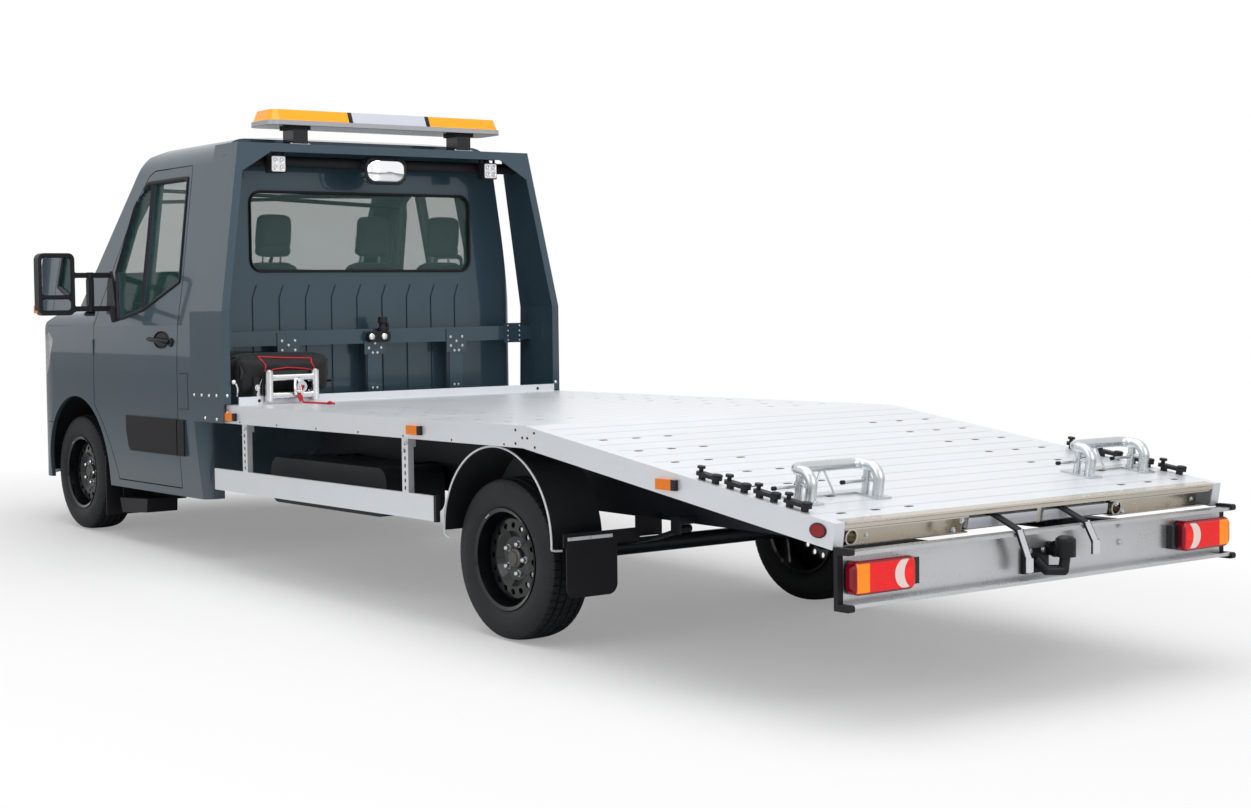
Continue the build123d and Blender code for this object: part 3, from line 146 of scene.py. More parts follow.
class Graph:
    """A node tree, with one method that makes its nodes."""

    def __init__(self, tree):
        self.tree = tree

    def feed(self, made, sockets):
        for place, value in dict(sockets).items():
            if isinstance(value, Signal):
                self.tree.links.new(value.socket, made.inputs[place])
            else:
                made.inputs[place].default_value = value

    def node(self, kind, sockets=(), take=0, **settings):
        """Make a node: its settings first, then its sockets' values or links."""
        made = self.tree.nodes.new(kind)
        for name, value in settings.items():
            setattr(made, name, value)
        self.feed(made, sockets)
        return Signal(self, made.outputs[take])

    def place(self, stretch=(1, 1, 1), take="Object"):
        """Object coordinates in metres, scaled, or the mesh's own UV."""
        spot = self.node("ShaderNodeTexCoord", take=take)
        return self.node("ShaderNodeMapping", {"Vector": spot, "Scale": stretch})

    def split(self, spot):
        return [self.node("ShaderNodeSeparateXYZ", {0: spot}, take=k) for k in range(3)]

    def axes(self):
        """The level chassis coordinates in metres: object coordinates with the rake turned back."""
        base = AXLE_Z / 1000
        shift = (0, AXLE_TO_MIDDLE / 1000 * cos(RAKE) - base * sin(RAKE),
                 base - AXLE_TO_MIDDLE / 1000 * sin(RAKE) - base * cos(RAKE))
        spot = self.node("ShaderNodeTexCoord", take="Object")
        turned = {"Vector": spot, "Location": shift, "Rotation": (-RAKE, 0, 0)}
        return self.split(self.node("ShaderNodeMapping", turned))

    def noise(self, scale, detail=3, rough=0.5, stretch=(1, 1, 1)):
        return self.node("ShaderNodeTexNoise", {"Vector": self.place(stretch), "Scale": scale, "Detail": detail,
                                                "Roughness": rough})

    def cells(self, scale):
        return self.node("ShaderNodeTexVoronoi", {"Vector": self.place(), "Scale": scale})

    def mix(self, factor, first, second):
        """Colour between two colours."""
        ends = [(*c, 1) if isinstance(c, tuple) else c for c in (first, second)]
        return self.node("ShaderNodeMix", {0: factor, 6: ends[0], 7: ends[1]}, take=2, data_type="RGBA")


class Look(Graph):
    """A procedural material on one Principled shader."""

    def __init__(self, name, colour, rough, metal=0.0, **sockets):
        self.material = bpy.data.materials.new(name)
        self.material.use_nodes = True
        super().__init__(self.material.node_tree)
        self.shader = self.tree.nodes["Principled BSDF"]
        self.feed(self.shader, {"Base Color": (*colour, 1), "Roughness": rough, "Metallic": metal})
        self.set(**sockets)

    def bump(self, height, strength, distance):
        raised = self.node("ShaderNodeBump", {"Height": height, "Strength": strength, "Distance": distance})
        self.feed(self.shader, {"Normal": raised})

    def set(self, **sockets):
        self.feed(self.shader, {key.replace("_", " "): value for key, value in sockets.items()})
        return self.material


# Looks: one function for each kind of surface, all worked out from object coordinates
GREY = (0.036, 0.065, 0.088)
AMBER = (0.92, 0.22, 0.002)
ROOF_AMBER = (0.95, 0.36, 0.008)
BLACK = (0.005, 0.006, 0.008)
REAR_LAMP_Z, ROOF_LAMP_Z = 0.383, 2.2


def shade(colour, share, more=0.0):
    """A colour with each part multiplied by a share and raised by a little more."""
    return tuple(c * share + more for c in colour)


def reach(x, z, middle):
    """Metres, in rear view, from a point at the rear lamps' height and this far out on either side."""
    return ((abs(x) - middle) ** 2 + (z - REAR_LAMP_Z) ** 2).apply("SQRT")


def paint(name, colour, rough=0.26, dust=0.05):
    """Gloss body paint: clear coat, fine flake and a little dust; black on the side strip and the headboard's pipe."""
    look = Look(name, colour, rough, 0.3, Coat_Weight=0.6, Coat_Roughness=0.03, IOR=1.5, Specular_IOR_Level=0.2)
    x, y, z = look.axes()
    flake, cloud = look.noise(900, 2), look.noise(1.3, 4)
    low = 1 - z.step(0.55, 0.6)
    tone = look.mix(flake * 0.5 + cloud * 0.4, colour, shade(colour, 1.16))
    tone = look.mix(low * cloud * dust * 4, tone, (0.25, 0.24, 0.22))
    wide = abs(x)
    strip = wide.step(1.0362, 0.0006) * y.within(0.78, 1.53) * z.within(0.51, 0.735) * (y + z).step(1.37, 0.003)
    pipe = abs(y - 1.858).within(-1, 0.031) * abs(z - 2.096).within(-1, 0.031) * wide.within(-1, 0.938)
    black = strip | pipe
    tone = look.mix(black, tone, (0.012, 0.012, 0.014))
    look.bump(look.noise(420, 2) + look.cells(600) * black * 6, 0.015, 0.0006)
    return look.set(Base_Color=tone, Roughness=rough + low * dust + flake * 0.05 + black * 0.3,
                    Metallic=0.3 - black * 0.3, Coat_Weight=0.6 - black * 0.6)


def bare_metal(name, colour, rough, grain=(1, 1, 1), wear=0.2, metal=1.0, painted=None):
    """Mill-finish or brushed metal: fine drawn lines along one way, with cloudy wear."""
    look = Look(name, colour, rough, metal)
    lines = look.noise(220, 4, 0.6, grain)
    cloud = look.noise(3.2, 5, 0.6)
    speck = look.noise(60, 4, 0.65)
    tone = look.mix(cloud * 0.7 + lines * 0.35 - 0.1, shade(colour, 0.84), colour)
    look.bump(lines, 0.08, 0.0006)
    if painted:
        mask = painted(*look.axes())
        look.set(Metallic=metal - mask * metal)
        tone = look.mix(mask, tone, BLACK)
    return look.set(Base_Color=tone, Roughness=rough + (cloud - 0.5) * wear + (speck - 0.5) * 0.12)


def bed_metal(name, colour, rough):
    """Pale anodised bed: plank joints across the deck's top, faint tread marks and drawn lines."""
    look = Look(name, colour, rough, 0.45)
    x, y, z = look.axes()
    wide = abs(x)
    top = wide.within(-1, 1.0175) * y.step(2.04, 0.002)
    joint = (y + 0.018).line(0.1065, 0.045, 0.03) * top
    wide_joint = (y + 0.018).line(0.1065, 0.16, 0.12) * top
    cloud = look.noise(2.4, 5, 0.6)
    scuff = look.noise(26, 5, 0.7, (1, 0.25, 1))
    lines = look.noise(260, 3, 0.6, (0.04, 1, 1))
    tone = look.mix(cloud * 0.6 + lines * 0.25, shade(colour, 0.93), colour)
    tone = look.mix(scuff.step(0.6, 0.2) * 0.22, tone, shade(colour, 0.86))
    tone = look.mix(wide_joint * 0.16 + joint * 0.5, tone, (0.36, 0.37, 0.4))
    look.bump(lines * 0.1 - joint - wide_joint * 0.3, 0.5, 0.002)
    return look.set(Base_Color=tone, Roughness=rough + (cloud - 0.5) * 0.16 + joint * 0.2)


def plastic(name, colour, rough, grain=700, depth=0.12, dust=0.1):
    """Moulded plastic or rubber with a fine grain and faint dust."""
    look = Look(name, colour, rough, Specular_IOR_Level=0.22)
    grains = look.cells(grain)
    cloud = look.noise(4, 4)
    tone = look.mix(cloud * dust * 2, colour, shade(colour, 1, 0.05))
    look.bump(grains + look.noise(grain * 0.4, 3) * 0.5, depth, 0.0005)
    return look.set(Base_Color=tone, Roughness=rough + (cloud - 0.5) * 0.16)


def lens(name, colour, zones=(), glow=0.12):
    """Moulded lamp lens: glossy, glowing a little in its own colour, ribbed; zones hold other colours between places.
    On the rail reflectors, which hold no lamp, this glow is painted light.
    """
    look = Look(name, colour, 0.12, 0.0, Coat_Weight=0.25, Coat_Roughness=0.02, IOR=1.49, Specular_IOR_Level=0.3,
                Emission_Strength=glow)
    x, y, z = look.axes()
    wave = (x * 620).apply("SINE") + (z * 620).apply("SINE")
    cell = look.cells(70)
    tone = look.mix(wave * 0.12 + cell * 0.5, shade(colour, 0.78), colour)
    for other, mask in (zone(x, y, z) for zone in zones):
        tone = look.mix(mask, tone, other)
    look.bump(wave, 0.1, 0.0007)
    return look.set(Base_Color=tone, Emission_Color=tone)


def glass(name, colour, clear, rough=0.02):
    """Tinted pane: a thin coated sheet, seen through by the share that is clear."""
    look = Look(name, colour, rough, 0.0, Coat_Weight=0.0, IOR=1.5, Alpha=1 - clear)
    return look.set(Roughness=rough + look.noise(2.2, 4) * 0.02)


def polished(name, colour, rough):
    """Mirror metal without a mark."""
    return Look(name, colour, rough, 1.0).material


def rubber(name, colour, rough):
    """Tyre rubber: its mesh carries the turn round the wheel and the radius as UV, for the moulded flank ribs."""
    look = Look(name, colour, rough, Specular_IOR_Level=0.22)
    u, v, _ = look.split(look.place(take="UV"))
    ribs = (u * 1500).apply("SINE") * v.within(0.285, 0.31, 0.006)
    rings = (v * 1400).apply("SINE") * v.within(0.22, 0.262, 0.004)
    grains = look.cells(420) * 0.3
    dust = look.noise(5, 5) * (1 - v.step(0.335, 0.01))
    tone = look.mix(dust * 0.5, colour, shade(colour, 1, 0.03))
    look.bump(ribs * 0.6 + rings * 0.4 + grains, 0.5, 0.0012)
    return look.set(Base_Color=tone, Roughness=rough + (look.noise(7, 4) - 0.5) * 0.14)


def weave(name, colour, thread, rough=0.85):
    """Woven cloth: two crossed sets of threads, with cloudy wear."""
    look = Look(name, colour, rough, Sheen_Weight=0.1, Specular_IOR_Level=0.22)
    x, y, z = look.split(look.place())
    warp, weft = (abs((way * thread).apply("SINE")) for way in (x + z, y - z))
    cloud = look.noise(9, 4)
    tone = look.mix(warp * weft * 0.6 + cloud * 0.4, shade(colour, 0.7), shade(colour, 1.3))
    look.bump(warp | weft, 0.6, 0.0008)
    return look.set(Base_Color=tone, Roughness=rough - cloud * 0.1)


def crescent(x, y, z):
    """White reversing lamp: a round less a round beside it, near the inner end of each rear lamp."""
    outer, inner = reach(x, z, 0.797), reach(x, z, 0.745)
    return (0.62, 0.52, 0.48), (1 - outer.step(0.050, 0.002)) * inner.step(0.057, 0.002)


def lamp_round(x, y, z):
    """Brighter round at the inner end of each rear lamp."""
    return (1.0, 0.01, 0.01), (1 - reach(x, z, 0.778).step(0.012, 0.022)) * 0.8


def lamp_rim(x, y, z):
    """Dark red edge along the top and foot of each rear lamp, and round its ends."""
    wide = abs(x)
    edge = abs(z - 0.3825).step(0.0485, 0.006) | wide.step(1.027, 0.006)
    return (0.16, 0.0, 0.006), edge | (1 - wide.step(0.752, 0.006))


LOOKS = {
    "grey_paint": (paint, GREY),
    "clear_glass": (glass, (0.05, 0.13, 0.115), 0.72),
    "black_trim": (plastic, (0.009, 0.010, 0.013), 0.42),
    "lamp_glass": (glass, (0.46, 0.48, 0.50), 0.3),
    "seat_cloth": (weave, (0.050, 0.056, 0.060), 1500),
    "frame_black": (plastic, (0.006, 0.008, 0.013), 0.36, 260, 0.08, 0.08),
    "cast_metal": (bare_metal, (0.14, 0.135, 0.13), 0.6),
    "amber_lens": (lens, AMBER, (
        lambda x, y, z: (ROOF_AMBER, z.step(ROOF_LAMP_Z, 0.01)),
        lambda x, y, z: ((0.52, 0.54, 0.60), abs(x).within(-1, 0.249) * z.step(ROOF_LAMP_Z, 0.01)),
        lambda x, y, z: (BLACK, abs(x).within(0.236, 0.262) * z.step(ROOF_LAMP_Z, 0.01)),
        lambda x, y, z: ((0.34, 0.35, 0.37), z.within(2.17, 2.303)),
        lambda x, y, z: (BLACK, z.within(2.17, 2.278)),
        lambda x, y, z: (BLACK, (y.within(2.144, 2.3) + y.within(3.852, 4.0) + y.within(5.532, 5.7))
                         * (1 - z.step(2, 0.01))),
    )),
    "mirror_face": (polished, (0.9, 0.92, 0.94), 0.02),
    "bed_aluminium": (bed_metal, (0.74, 0.765, 0.80), 0.36),
    "black_rubber": (plastic, (0.007, 0.007, 0.010), 0.5, 400, 0.15, 0.05),
    "white_paint": (bare_metal, (0.70, 0.71, 0.73), 0.30, (1, 1, 0.05), 0.3, 0.85),
    "red_lens": (lens, (0.80, 0.003, 0.005), (
        lambda x, y, z: (AMBER, abs(x).step(0.968, 0.002)),
        lamp_round,
        crescent,
        lamp_rim,
        lambda x, y, z: (BLACK, abs(x).within(-1, 0.742) | (1 - y.step(6.362, 0.002))),
    ), 0.4),
    "zinc_steel": (bare_metal, (0.62, 0.65, 0.67), 0.28, (0.05, 1, 1), 0.3),
    "cover_cloth": (weave, (0.006, 0.006, 0.008), 2600, 0.55),
    "tyre_rubber": (rubber, (0.009, 0.010, 0.012), 0.56),
    "wheel_steel": (paint, (0.004, 0.005, 0.006), 0.28, 0.0),
    "strap_red": (weave, (0.55, 0.03, 0.04), 3000),
    "bright_steel": (bare_metal, (0.72, 0.72, 0.72), 0.18, (1, 1, 1), 0.1),
    "warm_steel": (bare_metal, (0.62, 0.575, 0.50), 0.26, (0.03, 1, 1), 0.3),
    "white_face": (plastic, (0.78, 0.79, 0.8), 0.3, 300, 0.1, 0.02),
    "piping": (plastic, (0.6, 0.02, 0.03), 0.5),
    # The rail reflectors glow faintly too: a painted glow, as they hold no lamp
    "reflector_red": (lens, (0.30, 0.002, 0.004), (), 0.05),
    "oily_black": (plastic, (0.004, 0.005, 0.007), 0.35, 90, 0.3, 0.1),
    "winch_steel": (bare_metal, (0.72, 0.73, 0.73), 0.24, (1, 1, 0.1), 0.2, 1.0,
                    lambda x, y, z: 1 - y.step(2.1195, 0.001)),
}
looks = {name: make(name, *values) for name, (make, *values) in LOOKS.items()}
OTHER_LOOKS = {"ramp_channels": "warm_steel", "winch": "winch_steel", "tow_hitch": "oily_black"}
for part in frame["record"]["subparts"]:
    mesh = nodes[part["node"]].data
    mesh.materials.clear()
    mesh.materials.append(looks[OTHER_LOOKS.get(part["node"], part["material_slot"])])


# Camera at the photograph's place, solved from points of the truck that the photograph shows
EYE = (5.7100, 8.0501, 1.5588)
eye = bpy.data.cameras.new("camera")
eye.lens, eye.sensor_width, eye.shift_x, eye.shift_y = 55.494, 36, 0.1419, -0.0113
eye.clip_end = 200
camera = add_object("camera", eye)
yaw, pitch, roll = radians(-124.381), radians(-3.540), radians(-0.101)
ahead = np.array((cos(pitch) * cos(yaw), cos(pitch) * sin(yaw), sin(pitch)))
right = unit(np.cross(ahead, UP))
up = np.cross(right, ahead)
right, up = right * cos(roll) + up * sin(roll), up * cos(roll) - right * sin(roll)
turn = np.eye(4)
turn[:3, 0], turn[:3, 1], turn[:3, 2], turn[:3, 3] = right, up, -ahead, EYE
camera.matrix_world = Matrix(turn.tolist())
bpy.context.scene.camera = camera

# Pull strap: from the hook down to the deck and along it to its knot
ROUTE = [(682, 2165, 874), (682, 2165, 824.3), (678.1, 2214.5, 824.3), (662, 2423, 824.3)]
line = bpy.data.curves.new("hook_strap_rope", "CURVE")
line.dimensions, line.bevel_depth, line.bevel_resolution, line.use_fill_caps = "3D", 0.005, 5, True
spline = line.splines.new("NURBS")
spline.points.add(len(ROUTE) - 1)
for point, place in zip(spline.points, settle(ROUTE)):
    point.co = (*place, 1)
spline.order_u, spline.use_endpoint_u, spline.resolution_u = 3, True, 24
line.materials.append(looks["strap_red"])
rope = add_object("hook_strap_rope", line)
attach(rope, "chassis")
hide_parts("hook_strap")


# Pieces: gathered from plates, bars and turned forms, in chassis millimetres
class Shape:
    """Points and faces of one piece; each part takes the finish that is set when it is added."""

    def __init__(self):
        self.points, self.faces, self.finish, self.now = [], [], [], 0

    def grow(self, points, faces):
        start = len(self.points)
        self.points.extend(np.asarray(points, float).tolist())
        self.faces.extend([start + i for i in face] for face in faces)
        self.finish.extend([self.now] * len(faces))
        return self

    def use(self, finish):
        self.now = finish
        return self

    def sweep(self, rings, closed=False, caps=True):
        """Skin over rings of points, each joined to the next, with both ends capped."""
        rings = np.asarray(rings, float)
        n, m = rings.shape[:2]
        faces = [(i * m + j, i * m + (j + 1) % m, (i + 1) % n * m + (j + 1) % m, (i + 1) % n * m + j)
                 for i in range(n if closed else n - 1) for j in range(m)]
        if caps and not closed:
            faces += [tuple(range(m))[::-1], tuple((n - 1) * m + j for j in range(m))]
        return self.grow(rings.reshape(-1, 3), faces)

    def plate(self, outline, origin, u, v, depth):
        """A plate: its outline in two directions from an origin, pushed along their cross product."""
        flat = np.asarray(outline, float)
        u, v = unit(u), unit(v)
        face = np.asarray(origin, float) + flat[:, :1] * u + flat[:, 1:] * v
        return self.sweep([face, face + np.cross(u, v) * depth])

    def box(self, x, y, z):
        outline = [(x[0], y[0]), (x[1], y[0]), (x[1], y[1]), (x[0], y[1])]
        return self.plate(outline, (0, 0, z[0]), LEFT, BACK, z[1] - z[0])

    def bar(self, path, radius, sides=12, closed=False, flat=1.0):
        """A bar along a path: at each point a ring square to the way there, as thick as the radius, or flatter."""
        p = np.asarray(path, float)
        before, after = np.roll(p, 1, 0), np.roll(p, -1, 0)
        if not closed:
            before[0], after[-1] = p[0], p[-1]
        way = unit(after - before)
        side = unit(np.cross(way[0], (0.17, 0.31, 0.93)))
        rings = []
        angle = circle(sides)
        for place, ahead in zip(p, way):
            side = unit(side - ahead * np.dot(side, ahead))
            across = np.outer(np.cos(angle), side) + flat * np.outer(np.sin(angle), np.cross(ahead, side))
            rings.append(place + radius * across)
        return self.sweep(rings, closed)

    def turned(self, profile, place, axis, sides=24):
        """A turned form: profile points (distance along the axis, radius) about an axis through a place."""
        axis = unit(axis)
        first = unit(np.cross(axis, (0.2, 0.1, 1) if abs(axis[2]) < 0.9 else (1, 0.1, 0)))
        angle = circle(sides)
        spoke = np.outer(np.cos(angle), first) + np.outer(np.sin(angle), np.cross(axis, first))
        return self.sweep([np.asarray(place, float) + along * axis + radius * spoke for along, radius in profile])

    def bolts(self, places, axis, radius):
        """Hexagon heads with a washer and a domed end, standing on a face."""
        for place in places:
            self.turned([(0, radius * 1.5), (radius * 0.25, radius * 1.5)], place, axis, 16)
            head = [(radius * 0.25, radius), (radius * 0.9, radius), (radius * 1.05, radius * 0.82)]
            self.turned(head, place, axis, 6)
        return self

    def rivets(self, places, axis, radius):
        """Low domed heads, standing on a face."""
        for place in places:
            self.turned([(0, radius), (radius * 0.3, radius * 0.85), (radius * 0.5, radius * 0.45)], place, axis, 10)
        return self


def piece(name, body, finish, shape, bevel=0.0, seat=settle, sharp=38, levels=0):
    """Make an object of a shape in the shared frame: it rides on a body and takes one or more finishes."""
    names = (finish,) if isinstance(finish, str) else finish
    mesh = bpy.data.meshes.new(name)
    mesh.from_pydata(seat(shape.points).tolist(), [], shape.faces)
    for one in names:
        mesh.materials.append(looks[one])
    mesh.polygons.foreach_set("material_index", shape.finish)
    form = bmesh.new()
    form.from_mesh(mesh)
    bmesh.ops.recalc_face_normals(form, faces=form.faces)
    form.to_mesh(mesh)
    form.free()
    mesh.polygons.foreach_set("use_smooth", [True] * len(mesh.polygons))
    mesh.set_sharp_from_angle(angle=radians(sharp))
    made = add_object(name, mesh)
    if bevel:
        edge = made.modifiers.new("edges", "BEVEL")
        edge.width, edge.segments, edge.limit_method = bevel / 1000, 2, "ANGLE"
        edge.angle_limit, edge.harden_normals = radians(sharp), True
    if levels:
        soft = made.modifiers.new("soft", "SUBSURF")
        soft.levels = soft.render_levels = levels
    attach(made, body)
    return made


def rounded(half_wide, half_high, radius, steps=6, middle=(0, 0)):
    """Outline of a rectangle with round corners: a quarter circle about each corner's own centre."""
    corners = [(1, -1, -90), (1, 1, 0), (-1, 1, 90), (-1, -1, 180)]
    return [(middle[0] + sx * (half_wide - radius) + radius * cos(radians(a + t)),
             middle[1] + sz * (half_high - radius) + radius * sin(radians(a + t)))
            for sx, sz, a in corners for t in np.linspace(0, 90, steps)]


def arc(middle, radius, start, end, steps):
    """Points (first, second) on a circle between two angles in degrees."""
    a = np.radians(np.linspace(start, end, steps))
    return np.stack((middle[0] + radius * np.cos(a), middle[1] + radius * np.sin(a)), -1)


def skin(names, places, way, lift=0.0):
    """Where rays from outside, along a way, first meet the CAD nodes, raised by a lift; all chassis millimetres."""
    points, faces = [], []
    for name in names:
        mesh = nodes[name].data
        start = len(points)
        points.extend(v.co.copy() for v in mesh.vertices)
        faces.extend([start + i for i in p.vertices] for p in mesh.polygons)
    tree = BVHTree.FromPolygons(points, faces)
    way = unit(way)
    aim = Vector(settle(way) - settle((0, 0, 0))).normalized()
    met = []
    for place in places:
        start = Vector(settle(np.asarray(place, float) - 3000 * way))
        hit = tree.ray_cast(start, aim)[0]
        met.append(level(np.array(hit)) - lift * way if hit is not None else np.asarray(place, float))
    return np.array(met)


def fine(outline, step=40, closed=True):
    """An outline's runs divided so that no two points are further apart than the step."""
    p = np.asarray(outline, float)
    ends = np.roll(p, -1, 0) if closed else p[1:]
    parts = [a + (b - a) * np.linspace(0, 1, max(2, int(np.hypot(*(b - a)) / step) + 1), endpoint=False)[:, None]
             for a, b in zip(p if closed else p[:-1], ends)]
    return np.concatenate(parts + ([] if closed else [p[-1:]]))


def trace(names, outline, way, lift, step=40, closed=True):
    """A finely divided outline, in side view (y, z) or front view (x, z), laid on the CAD nodes along a way."""
    return skin(names, np.insert(fine(outline, step, closed), 1 if way == BACK else 0, 0, axis=1), way, lift)


# Wheels: a tyre with a real tread in place of each plain one, and the fittings of the steel wheel
TYRE_RADIUS = 344.8
FLANK = [(-88, 208), (-93, 213), (-99, 222), (-106, 234), (-110.5, 250), (-112, 266), (-111, 282), (-108, 300),
         (-103, 316), (-98, 327), (-90, 336)]
GROOVES = [(-64, -55), (-25, -17), (17, 25), (55, 64)]


def tread_profile():
    """(x, radius, is tread) across the tyre: flanks, then the crown, a low arc, with steep-sided grooves."""
    marks = [-90, -84, -77, -70]
    for low, high in GROOVES:
        marks += [low, low + 1.2, high - 1.2, high, (high + 14) if high < 60 else high + 4]
    marks = sorted({round(m, 2) for m in marks if abs(m) < 89} | {70, 77, 84, 0.0})
    crown = []
    for x in marks:
        deep = any(low < x < high for low, high in GROOVES)
        crown.append((x, TYRE_RADIUS - 9 * (abs(x) / 90) ** 3.4 - (7.5 if deep else 0), 1.0))
    flank = [(x, r, 0.0) for x, r in FLANK]
    return flank + crown + [(-x, r, 0.0) for x, r in FLANK[::-1]]


def tyre(name, side, x, y, body):
    """A tyre as a grid: its profile turned round the axle, with cross cuts sunk into the tread's blocks."""
    profile = np.array(tread_profile())
    blocks, parts = 62, np.array([0, 0.10, 0.16, 0.40, 0.46, 0.52, 0.76])
    angle = ((np.arange(blocks)[:, None] + parts[None, :]) / blocks * 2 * pi).ravel()
    place = np.tile(np.arange(len(parts)), blocks)
    across, radius, tread = profile.T
    off = np.abs(across)
    cuts = ((1, (off > 64) & (tread > 0), 6.5), (4, (off >= 25) & (off <= 55), 5.0), (5, off < 17, 2.5),
            (1, (radius > 320) & (tread == 0), 3.0))
    r = radius[None] - sum(np.where((place[:, None] == k) & there[None], depth, 0.0) for k, there, depth in cuts)
    twist = angle[:, None] + across[None] * 0.0006
    wide = np.broadcast_to(side * (x + across), r.shape)
    points = np.stack((wide, y + r * np.sin(twist), AXLE_Z + r * np.cos(twist)), -1)
    n, m = r.shape
    rows, cols = np.meshgrid(np.arange(n), np.arange(m - 1), indexing="ij")
    here, there = rows * m + cols, (rows + 1) % n * m + cols
    faces = np.stack((here, here + 1, there + 1, there), -1)
    shape = Shape().grow(points.reshape(-1, 3), faces.reshape(-1, 4).tolist())
    made = piece(f"road_tyre_{name}", body, "tyre_rubber", shape, seat=ground, sharp=32)
    flat = made.data.uv_layers.new(name="round")
    corner = np.empty(len(made.data.loops), int)
    made.data.loops.foreach_get("vertex_index", corner)
    row, col = corner // m, corner % m
    flat.data.foreach_set("uv", np.stack((angle[row] / (2 * pi), r[row, col] / 1000), -1).ravel())
    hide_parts(f"tyre_{name}")


def wheel_fittings(name, side, x, y, body):
    """Wheel nuts, hub cap, tyre valve and a balance weight on one steel wheel."""
    face = side * (x + 34)
    shape = Shape()
    for a in circle(5):
        spot = (face, y + 65 * cos(a), AXLE_Z + 65 * sin(a))
        shape.turned([(0, 15), (5, 14)], spot, (side, 0, 0), 16)
        shape.turned([(5, 11.5), (20, 11.5), (24, 8)], spot, (side, 0, 0), 6)
    cap = [(0, 44), (10, 43), (17, 36), (17, 31), (22, 29), (24, 0.5)]
    shape.use(1).turned(cap, (face + side * 2, y, AXLE_Z), (side, 0, 0), 32)
    valve = [(-4, 5), (14, 5), (15, 4), (30, 4), (31, 0.5)]
    shape.use(2).turned(valve, (side * (x + 40), y + 176, AXLE_Z + 20), (side, 0.15, 0), 12)
    weight = [(-16, -4), (16, -4), (16, 4), (-16, 4)]
    shape.use(0).plate(weight, (side * (x + 100), y - 118, AXLE_Z + 172), (0, 0.82, 0.57), (side, 0, 0), 4)
    piece(f"wheel_fittings_{name}", body, ("zinc_steel", "cast_metal", "black_rubber"), shape, seat=ground, sharp=30)


for end, x, y in (("front", 875, 0), ("rear", 865, WHEELBASE)):
    for side, hand in SIDES:
        tyre(f"{end}_{hand}", side, x, y, f"{end}_{hand}_wheel")
        wheel_fittings(f"{end}_{hand}", side, x, y, f"{end}_{hand}_wheel")


# Cab: window rubbers, handles, mirror sails and panes, and wipers
DOOR_WINDOW = [(690, 1280), (590, 1540), (758, 1960), (860, 2022), (1343, 2022), (1385, 1475), (981, 1331)]
WINDOW_MIDDLE = (970, 1660)
DOOR_BAR = [(981, 1331), (942, 2022)]
HANDLE = [(-112, 6, 4), (-104, 5, 20), (-70, 4, 32), (0, 0, 36), (60, -5, 32), (104, -9, 22), (112, -10, 4)]
SAIL = [(662, 1640), (600, 1560), (560, 1420), (556, 1300), (600, 1250), (680, 1262), (668, 1300), (612, 1500)]
REAR_WINDOW_Z = 1730
SCREEN = [(-872, 1462), (872, 1462), (742, 2078), (-742, 2078)]

for side, hand in SIDES:
    door, body, trim = [f"door_{hand}"], f"{hand}_door", "black_trim"
    inward, out = (-side, 0, 0), np.array((side, 0, 0))
    seal = Shape()
    grown = (np.array(DOOR_WINDOW) - WINDOW_MIDDLE) * (1.024, 1.028) + WINDOW_MIDDLE
    seal.bar(trace(door, grown, inward, 1), 13, 8, closed=True, flat=0.45)
    seal.bar(trace(door, DOOR_BAR, inward, 1, 60, False), 17, 8, flat=0.35)
    piece(f"window_rubber_{hand}", body, "black_rubber", seal)

    grip = Shape()
    at = skin(door, [(0, 1232, 1150)], inward)[0]
    grip.bar([at + out * d + (0, dy, dz) for dy, dz, d in HANDLE], 21, 12, flat=0.62)
    bowl = [(0, at[1] + 8 + 88 * cos(a), at[2] + 2 + 46 * sin(a)) for a in circle(36)]
    rim = skin(door, bowl, inward, 1.5)
    grip.sweep([rim, rim - out * 3]).bar(rim, 4, 8, closed=True)
    grip.turned([(0, 27), (9, 26), (11, 20), (11, 9), (7, 8)], at + (0, 128, -12), out, 24)
    piece(f"door_handle_{hand}", body, trim, grip, levels=1)

    sail = Shape()
    face = trace(door + ["cab_shell", "front_wings"], SAIL, inward, 7, 30)
    sail.sweep([face, face - out * 10])
    piece(f"mirror_sail_{hand}", body, trim, sail)

    panes = Shape()
    for low, high in ((1406, 1624), (1320, 1388)):
        pane = rounded(86, (high - low) / 2 - 3, 20, 5, (side * 1351, (low + high) / 2))
        panes.plate(pane, (0, 571, 0), LEFT, UP, 1)
    panes.use(1).plate(rounded(28, 22, 8, 4), (side * 1440, 520, 1330), BACK, UP, side * 19)
    panes.use(2)
    for z in (1330, 1522):
        panes.turned([(-17, 19), (17, 19)], (side * 1135, 545, z), UP, 16)
        panes.turned([(-19, 15), (19, 15)], (side * 1240, 545, z), UP, 16)
    panes.box((side * 1118, side * 1152), (526, 564), (1350, 1500))
    piece(f"mirror_parts_{hand}", body, ("mirror_face", "amber_lens", trim), panes, bevel=2)

surround = Shape()
wall = fine(np.array(rounded(716, 214, 64, 8)) + (0, REAR_WINDOW_Z), 60)
surround.bar([(x, 1706, z) for x, z in wall], 15, 8, closed=True, flat=0.5)
piece("rear_window_rubber", "chassis", "black_rubber", surround)

front = Shape()
shell = ["cab_shell", "cab_glass"]
front.bar(trace(shell, np.array(SCREEN) * (1.012, 1), BACK, 1, 60), 12, 8, closed=True, flat=0.5)
for x in (560, -120):
    foot = skin(shell + ["cowl", "bonnet"], [(x, 0, 1425)], BACK, 12)[0]
    blade = skin(shell, [(x - t * 560, 0, 1475 + 60 * t) for t in np.linspace(0, 1, 9)], BACK, 9)
    front.bar([foot, foot + (0, -14, 16), blade[4] + (0, -14, -10), blade[4] + (0, -6, 0)], 8, 8)
    front.bar(blade, 7, 8)
    front.turned([(-14, 18), (10, 18), (16, 12)], foot, (0, -0.6, 0.8), 16)
piece("screen_rubber_and_wipers", "chassis", "black_rubber", front)


